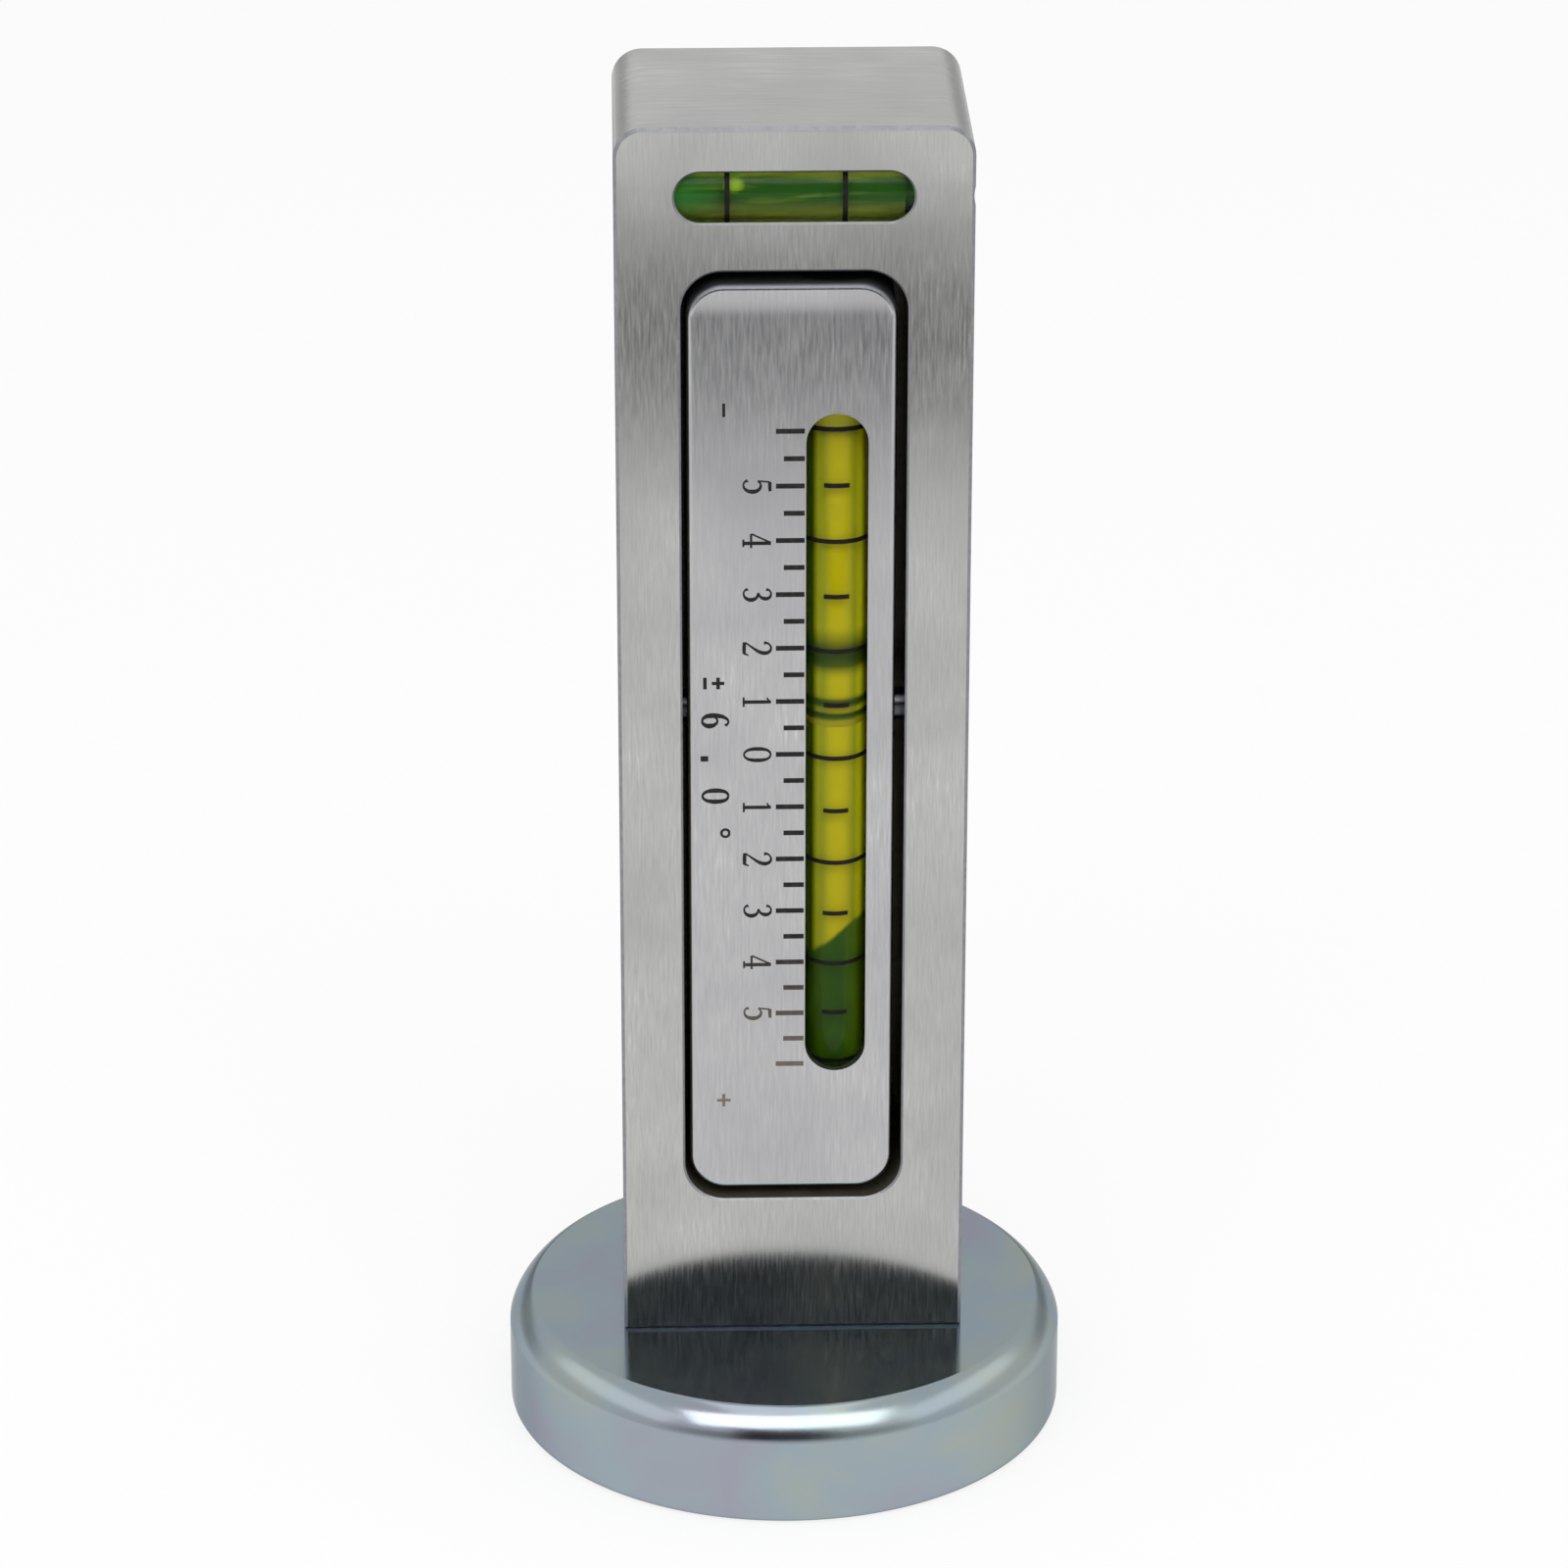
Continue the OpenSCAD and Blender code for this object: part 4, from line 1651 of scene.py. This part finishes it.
@dataclass
class CamberVial(Vial):
    """The bent vial behind the carrier's slot."""

    bore: VialBore = field(default_factory=VialBore)
    tube_radius: float = 2.4
    bore_radius: float = 1.8
    bend_radius: float = 237.663
    tube_degrees: float = 7.61524
    liquid_degrees: float = 7.01254
    bubble_degrees: float = -1.35
    bubble_length: float = 8.2
    bubble_radius: float = 1.76
    bubble_end: float = 0.5
    line_width: float = 0.34
    # Half the width of a short line, and how far round the tube a long one reaches.
    short_line: float = 1.02
    line_reach: float = 0.9
    # The vial lies a little low in its carrier, so its lines stand below the marks.
    line_shift: float = 0.1
    line_stretch: float = 0.994
    steps: int = 60

    def centre(self) -> Vector:
        """Gives the centre of the bend, in metres."""
        return Vector((self.bore.x, self.bore.y + self.bend_radius, self.bore.zero_z)) * MM

    def about_bend(self, piece: bpy.types.Object, degrees: float) -> None:
        """Turns a piece about the centre of the bend and settles it.

        Args:
            piece: The piece, made at the dial's zero.
            degrees: The dial reading, positive towards the foot.
        """
        to, back = Matrix.Translation(self.centre()), Matrix.Translation(-self.centre())
        turn = Matrix.Rotation(math.radians(degrees), 4, "X")
        piece.matrix_world = to @ turn @ back @ piece.matrix_world
        settle(piece)

    def bend(self, piece: bpy.types.Object, degrees: float) -> None:
        """Spins all of a flat piece along the vial, from its upper end to its lower.

        Args:
            piece: A disc or ring that lies at the upper end.
            degrees: Half of the sweep.
        """
        open_mesh(piece)
        bpy.ops.mesh.select_all(action="SELECT")
        bpy.ops.mesh.spin(
            steps=self.steps,
            angle=math.radians(-2 * degrees),
            center=self.centre(),
            axis=(1, 0, 0),
        )
        close_mesh()
        tidy(piece)

    def zero(self) -> Triple:
        """Gives the place on the vial's axis at the dial's zero."""
        return self.bore.x, self.bore.y, self.bore.zero_z

    def tube(self) -> bpy.types.Object:
        """Bends the tube: a ring is bridged and spun about the bend's centre.

        Returns:
            The tube.
        """
        made = self.bridged(
            self.ring(self.tube_radius, self.zero()), self.ring(self.bore_radius, self.zero())
        )
        self.about_bend(made, -self.tube_degrees)
        self.bend(made, self.tube_degrees)
        return made

    def spirit(self) -> bpy.types.Object:
        """Fills the bore between the plugs.

        Returns:
            The column.
        """
        disc = self.ring(self.bore.radius, self.zero(), filled=True)
        self.about_bend(disc, -self.liquid_degrees)
        self.bend(disc, self.liquid_degrees)
        return disc

    def bubble(self) -> bpy.types.Object:
        """Stretches a ball into a long bubble with blunt round ends.

        Returns:
            The bubble's skin.
        """
        made = self.ball(self.bubble_radius, self.zero())
        middle = self.bore.zero_z * MM
        blunt = self.bubble_end / self.bubble_radius
        open_mesh(made)
        bpy.ops.mesh.select_all(action="SELECT")
        bpy.ops.transform.resize(value=(1, 1, blunt), center_override=(0, 0, middle))
        shift = (self.bubble_length / 2 - self.bubble_end) * MM
        for side in (1, -1):
            pick(made, Part.POINTS, lambda p: (p.co.z - middle) * side > NEAR)
            bpy.ops.transform.translate(value=(0, 0, side * shift))
        close_mesh()
        tidy(made)
        self.about_bend(made, self.bubble_degrees)
        return made

    def line(self, reading: int) -> bpy.types.Object:
        """Prints one black line round the front of the tube.

        Args:
            reading: The dial reading. Even ones go right across and odd ones are short.

        Returns:
            The line, as a thin raised band.
        """
        made = self.ring(self.tube_radius, self.zero())
        open_mesh(made)
        wide = self.short_line if reading % 2 else self.tube_radius
        front = (self.bore.y + (0 if reading % 2 else self.line_reach)) * MM
        left, right = ((self.bore.x + side * wide) * MM for side in (-1, 1))
        pick(made, Part.POINTS, lambda p: p.co.y > front or not left < p.co.x < right)
        bpy.ops.mesh.delete(type="VERT")
        bpy.ops.mesh.select_all(action="SELECT")
        bpy.ops.mesh.extrude_region_move(
            TRANSFORM_OT_translate={"value": (0, 0, self.line_width * MM)}
        )
        bpy.ops.mesh.select_all(action="SELECT")
        bpy.ops.transform.translate(value=(0, 0, -self.line_width / 2 * MM))
        bpy.ops.mesh.normals_make_consistent(inside=False)
        close_mesh()
        self.thicken(made)
        self.about_bend(made, reading * self.line_stretch + self.line_shift)
        return made

    def build(
        self,
        acrylic: CastAcrylic,
        wetted: CastAcrylic,
        spirit: CamberSpirit,
        bubble: CamberBubble,
        ink: Grained,
        plug: Grained,
        plaster: Grained,
    ) -> None:
        """Builds the tube, its lines, its spirit and its bubble.

        Args:
            acrylic: The tube's finish outside.
            wetted: The tube's finish in its bore.
            spirit: The spirit's finish.
            bubble: The finish of the bubble's skin.
            ink: The finish of its printed lines.
            plug: The finish of the two plugs.
            plaster: The finish of the bedding behind the tube.
        """
        tube, carrier = self.tube(), Body.CARRIER
        limit = (self.tube_radius + self.bore_radius) / 2 * MM
        outside = self.part_walls(
            tube, acrylic, wetted, lambda face: self.off_axis(face.center) < limit
        )
        self.keep(tube, "bent_tube", outside, carrier, Slot.ACRYLIC, ["camber_tube"])
        column, yellow = self.spirit(), spirit.make()
        self.keep(column, "camber_spirit", yellow, carrier, Slot.YELLOW, ["camber_liquid"])
        skin, air = self.bubble(), bubble.make()
        self.keep(
            skin, "camber_bubble_skin", air, Body.CAMBER_BUBBLE, Slot.AIR, ["camber_bubble"]
        )
        lines = joined([self.line(reading) for reading in range(-6, 7)])
        tidy(lines, angle=50)
        self.keep(lines, "camber_lines", ink.make(), carrier, Slot.BLACK)
        self.dress(plug.make(), "camber_plug_upper", "camber_plug_lower")
        self.dress(plaster.make(), "camber_bedding")

    def off_axis(self, point: Vector) -> float:
        """Gives a point's distance from the vial's bent axis, in metres.

        Args:
            point: The point.

        Returns:
            The distance.
        """
        centre = self.centre()
        out = math.hypot(point.y - centre.y, point.z - centre.z) - self.bend_radius * MM
        return math.hypot(out, point.x - self.bore.x * MM)


@dataclass
class CrossVial(Vial):
    """The straight vial behind the window in the bar's head."""

    x: float = -0.25
    y: float = -4.48738
    z: float = 98.1402
    radius: float = 2.3
    bore_radius: float = 1.6
    length: float = 20.0
    plug_length: float = 1.5
    spirit_radius: float = 1.52
    bubble_radius: float = 1.56
    bubble_length: float = 7.6
    line_width: float = 0.36
    line_relief: float = 0.015
    lines_x: Span = (-4.27, 4.02)

    def ring_at(self, radius: float, x: float, filled: bool = False) -> bpy.types.Object:
        """Adds a circle across the vial at an X."""
        return self.ring(radius, (x, self.y, self.z), filled, lying=True)

    def stretch(self, piece: bpy.types.Object, length: float) -> None:
        """Extrudes all of a piece along the vial.

        Args:
            piece: The piece.
            length: How far it is drawn, in millimetres.
        """
        open_mesh(piece)
        bpy.ops.mesh.select_all(action="SELECT")
        bpy.ops.mesh.extrude_region_move(TRANSFORM_OT_translate={"value": (length * MM, 0, 0)})
        close_mesh()

    def tube(self) -> bpy.types.Object:
        """Draws the tube from a bridged ring.

        Returns:
            The tube.
        """
        left = self.x - self.length / 2
        made = self.bridged(
            self.ring_at(self.radius, left), self.ring_at(self.bore_radius, left)
        )
        self.stretch(made, self.length)
        tidy(made)
        return made

    def spirit(self) -> bpy.types.Object:
        """Fills the bore between the plugs.

        Returns:
            The column.
        """
        half = self.length / 2 - self.plug_length
        made = self.ring_at(self.spirit_radius, self.x - half, filled=True)
        self.stretch(made, 2 * half)
        tidy(made)
        return made

    def bubble(self) -> bpy.types.Object:
        """Stretches a ball into the cross bubble.

        Returns:
            The bubble's skin.
        """
        made = self.ball(self.bubble_radius, (self.x, self.y, self.z), lying=True)
        middle = self.x * MM
        open_mesh(made)
        for side in (1, -1):
            pick(made, Part.POINTS, lambda p: (p.co.x - middle) * side > NEAR)
            shift = side * (self.bubble_length / 2 - self.bubble_radius) * MM
            bpy.ops.transform.translate(value=(shift, 0, 0))
        close_mesh()
        tidy(made)
        return made

    def line(self, at: float) -> bpy.types.Object:
        """Prints one black ring round the tube.

        Args:
            at: The X of its middle.

        Returns:
            The ring, as a thin raised band.
        """
        made = self.ring_at(self.radius, at - self.line_width / 2)
        self.stretch(made, self.line_width)
        self.thicken(made)
        return made

    def build(
        self,
        acrylic: CastAcrylic,
        wetted: CastAcrylic,
        spirit: CrossSpirit,
        bubble: CrossSpirit,
        ink: Grained,
        plug: Grained,
    ) -> None:
        """Builds the tube, its two lines, its spirit and its bubble.

        Args:
            acrylic: The tube's finish outside.
            wetted: The tube's finish in its bore.
            spirit: The spirit's finish.
            bubble: The finish of the bubble's skin.
            ink: The finish of its printed lines.
            plug: The finish of the two plugs.
        """
        tube, bar = self.tube(), Body.BAR
        outside = self.part_walls(tube, acrylic, wetted, self.in_bore)
        self.keep(tube, "cross_tube_clear", outside, bar, Slot.ACRYLIC, ["cross_tube"])
        column, green = self.spirit(), spirit.make()
        self.keep(column, "cross_spirit", green, bar, Slot.GREEN, ["cross_liquid"])
        skin, air = self.bubble(), bubble.make()
        self.keep(
            skin, "cross_bubble_skin", air, Body.CROSS_BUBBLE, Slot.AIR, ["cross_bubble"]
        )
        lines = joined([self.line(at) for at in self.lines_x])
        tidy(lines, angle=50)
        self.keep(lines, "cross_lines", ink.make(), bar, Slot.BLACK)
        self.dress(plug.make(), "cross_plug_left", "cross_plug_right")

    def in_bore(self, face: bpy.types.MeshPolygon) -> bool:
        """Says whether a face of the tube is in its bore."""
        out = math.hypot(face.center.y - self.y * MM, face.center.z - self.z * MM)
        return out < (self.radius + self.bore_radius) / 2 * MM and abs(face.normal.x) < 0.5


# ---------------------------------------------------------------- the studio


@dataclass(frozen=True)
class PaleFloor:
    """A white sweep of card, which keeps a soft shadow."""

    label: str
    colour: str = "#f0f0f0"
    white_share: float = 0.8

    def make(self) -> bpy.types.Material:
        """Makes the material. What looks at it sees mostly white.

        Returns:
            The material.
        """
        material, tree = new_material(self.label)
        card = matt_card(tree, self.colour)
        white = add_node(tree, "Emission", {"Color": WHITE, "Strength": 1.0})
        ray = add_node(tree, "LightPath").outputs
        looks = maths(tree, "ADD", ray["Is Camera Ray"], ray["Is Glossy Ray"])
        looks = maths(tree, "ADD", looks, ray["Is Transmission Ray"], use_clamp=True)
        share = maths(tree, "MULTIPLY", looks, self.white_share)
        surface(tree, blend(tree, share, card, white))
        return material


@dataclass(frozen=True)
class DarkCard:
    """Black card whose edges fade, which only polished metal sees."""

    label: str
    colour: str = "#0c0d10"
    # The share of the way from its edge to its middle over which it fades.
    fade: float = 0.4
    strength: float = 1.0

    def make(self) -> bpy.types.Material:
        """Makes the material, on the card's own flat coordinates.

        Returns:
            The material.
        """
        material, tree = new_material(self.label)
        half = 0.5
        place = add_node(tree, "TexCoord").outputs["UV"]
        inputs = {"Vector": place, "Location": (-half, -half, 0), "Scale": (1, 1, 0)}
        flat = apart(tree, add_node(tree, "Mapping", inputs).outputs[0]).outputs
        far = [maths(tree, "ABSOLUTE", flat[name]) for name in ("X", "Y")]
        shown = remap(
            tree,
            maths(tree, "MAXIMUM", *far),
            (half, half * (1 - self.fade)),
            (0, self.strength),
            interpolation_type="SMOOTHSTEP",
        )
        clear = add_node(tree, "BsdfTransparent")
        card = matt_card(tree, self.colour)
        surface(tree, blend(tree, shown, clear, card))
        return material


@dataclass
class Studio:
    """Floor, lamps, dark cards and camera."""

    camera_place: Triple = (-12.198, -418.788, 229.257)
    camera_turn: Triple = (66.9098, -0.0527, -1.6391)
    lens: float = 141.394
    sensor: float = 36.0
    # What the camera sees, from and to this far, in metres.
    clip: Span = (0.01, 20.0)
    floor_size: float = 4000.0
    # The floor lies a little lower than the foot, so the two faces don't fight.
    floor_z: float = -0.05
    # How strongly the room lights matt surfaces, how bright it looks, and how bright
    # it looks in metal.
    fill: float = 0.75
    seen: float = 1.0
    reflected: float = 0.8
    # Watts, width, height and place of each soft box, which faces the gauge.
    boxes: tuple[tuple[str, float, float, float, Triple], ...] = (
        ("front_box", 3.6, 1250, 400, (0, -620, 690)),
        ("left_box", 0.4, 900, 300, (-700, -110, 430)),
        ("right_box", 0.4, 900, 300, (700, -110, 430)),
        ("overhead_box", 0.5, 500, 500, (0, -150, 800)),
    )
    aim: Triple = (0, 0, 45)
    # Finish, width and height, middle, and turn about X from lying flat, of each card.
    cards: tuple[tuple[str, DarkCard, Span, Triple, float], ...] = (
        ("camera_card", DarkCard("black card", fade=0.5), (420, 270), (-12, -440, 195), 90),
        (
            "far_card",
            DarkCard("grey card", strength=0.5, fade=0.6),
            (1700, 260),
            (0, -560, 190),
            90,
        ),
        (
            "floor_card",
            DarkCard("dark strip on the floor", strength=1.0, fade=1.0),
            (900, 105),
            (0, -264, 0.5),
            0,
        ),
        (
            "back_card",
            DarkCard("grey card behind", strength=0.45, fade=0.5),
            (2200, 260),
            (0, 520, 90),
            90,
        ),
        (
            "back_floor_card",
            DarkCard("grey card on the floor", strength=0.45, fade=0.4),
            (1600, 420),
            (0, 300, 0.5),
            0,
        ),
    )

    def camera(self) -> None:
        """Sets the camera where the photograph was taken from."""
        data = bpy.data.cameras.new("photograph_view")
        data.lens, data.sensor_width = self.lens, self.sensor
        data.clip_start, data.clip_end = self.clip
        made = bpy.data.objects.new("photograph_view", data)
        made.location = Vector(self.camera_place) * MM
        made.rotation_euler = [math.radians(a) for a in self.camera_turn]
        bpy.context.scene.collection.objects.link(made)
        bpy.context.scene.camera = made

    def floor(self, finish: PaleFloor) -> None:
        """Lays the floor just under the foot.

        Args:
            finish: The floor's finish.
        """
        only()
        place = (0, 0, self.floor_z * MM)
        bpy.ops.mesh.primitive_plane_add(size=self.floor_size * MM, location=place)
        made = bpy.context.object
        made.name = "floor"
        settle(made)
        made.data.materials.append(finish.make())

    def card(
        self, name: str, finish: DarkCard, size: Span, place: Triple, turn: float
    ) -> None:
        """Hangs a dark card that only reflections show.

        Args:
            name: Its name.
            finish: Its material.
            size: Its width and height.
            place: Its middle.
            turn: Its turn about X in degrees, from lying flat.
        """
        only()
        bpy.ops.mesh.primitive_plane_add(size=1, location=[a * MM for a in place])
        made = bpy.context.object
        made.name = name
        made.scale = (size[0] * MM, size[1] * MM, 1)
        made.rotation_euler.x = math.radians(turn)
        settle(made)
        made.data.materials.append(finish.make())
        for kind in ("camera", "diffuse", "transmission", "volume_scatter", "shadow"):
            setattr(made, "visible_" + kind, False)

    def lamps(self) -> None:
        """Hangs the soft boxes."""
        for name, watts, wide, high, place in self.boxes:
            data = bpy.data.lights.new(name, "AREA")
            data.shape = "RECTANGLE"
            data.size, data.size_y = wide * MM, high * MM
            data.energy = watts
            made = bpy.data.objects.new(name, data)
            made.location = Vector(place) * MM
            towards = Vector(self.aim) * MM - made.location
            made.rotation_euler = towards.to_track_quat("-Z", "Y").to_euler()
            bpy.context.scene.collection.objects.link(made)

    def world(self) -> None:
        """Surrounds all with a pale room that looks white and lights softly."""
        room = bpy.data.worlds.new("pale_room")
        bpy.context.scene.world = room
        room.use_nodes = True
        tree = room.node_tree
        tree.nodes.clear()
        ray = add_node(tree, "LightPath").outputs
        level = remap(tree, ray["Is Glossy Ray"], (0, 1), (self.fill, self.reflected))
        looks = maths(tree, "MAXIMUM", ray["Is Camera Ray"], ray["Is Transmission Ray"])
        inputs = {"Factor": looks, "A": level, "B": self.seen}
        strength = add_node(tree, "Mix", inputs, data_type="FLOAT").outputs[0]
        light = add_node(tree, "Background", {"Color": WHITE, "Strength": strength})
        add_node(tree, "OutputWorld", {"Surface": light.outputs[0]})

    def build(self) -> None:
        """Sets up the studio."""
        bpy.context.scene.view_settings.view_transform = "Standard"
        self.camera()
        self.floor(PaleFloor("white card floor"))
        for card in self.cards:
            self.card(*card)
        self.lamps()
        self.world()


def main() -> None:
    """Builds the gauge and its studio in order."""
    logging.basicConfig(level=logging.INFO, format="%(message)s")
    bar_metal = BrushedAluminium(
        "brushed aluminium of the bar", eased=(98.8, 102.9), eased_depth=0.05
    )
    plate_metal = BrushedAluminium(
        "brushed aluminium of the dial plate", light="#bebebf", dark="#acacae", roughness=0.18,
        dulled=0.85, eased=(89.3, 91.5), eased_depth=0.072,
    )
    bore = VialBore()
    spirit = CamberSpirit("yellow-green dyed spirit", bore)
    black = Grained(
        "black-oxide steel", "#222426", "#3a3d40", 0.42, metallic=0.7, grain=(0.4, 0.4, 0.4)
    )
    ink = Grained(
        "black vial enamel", "#0f0e0b", "#1d1b16", 0.6, specular=0.15, grain=(0.5, 0.5, 0.5)
    )
    plug = Grained("moulded nylon plug", "#717d24", "#8d9a34", 0.45, grain=(1.5, 1.5, 1.5))
    acrylic = CastAcrylic("cast acrylic tube")
    wetted = CastAcrylic("wetted bore of the tube", wetted=True)
    MagnetFoot().build(
        ZincPlate("blue zinc plate on drawn steel"),
        Grained("sintered ferrite", "#252527", "#39393b", 0.75, grain=(0.25, 0.25, 0.25)),
        black,
    )
    Bar().build(
        bar_metal,
        # Deburred edges: rougher, and darkened as painted shade along the edge lines.
        Grained(
            "deburred aluminium edge darkened as painted shade", "#85868a", "#95969a", 0.35, metallic=1.0,
            grain=(0.5, 0.5, 0.5),
        ),
        # Milled aluminium inside the pocket, darkened as painted shade in the recess.
        Grained(
            "milled aluminium of the pocket darkened as painted shade", "#5c574c", "#6e685c", 0.45, metallic=0.55,
            grain=(2.0, 2.0, 0.3),
        ),
        Grained(
            "ground pin steel", "#66696c", "#7e8184", 0.3, metallic=1.0, grain=(4, 0.1, 0.1)
        ),
    )
    Dial().build(plate_metal, MarkPaint("black mark enamel"))
    CamberVial(bore=bore).build(
        acrylic,
        wetted,
        spirit,
        CamberBubble("bubble skin in the camber vial", spirit, middle_z=61.494),
        ink,
        plug,
        Grained("cast plaster", "#ddd7bb", "#f0ebd4", 0.85, grain=(0.6, 0.6, 0.6)),
    )
    cross = CrossVial()
    cross.build(
        acrylic,
        wetted,
        CrossSpirit("green dyed spirit", cross.z, cross.spirit_radius),
        CrossSpirit(
            "bubble skin in the cross vial", cross.z, cross.bubble_radius, streak="#8ba436"
        ),
        ink,
        Grained(
            "dyed nylon plug", "#24501c", "#2e5c20", 0.45, specular=0.1, grain=(1.5, 0.4, 0.4)
        ),
    )
    Studio().build()


if __name__ == "__main__":
    main()
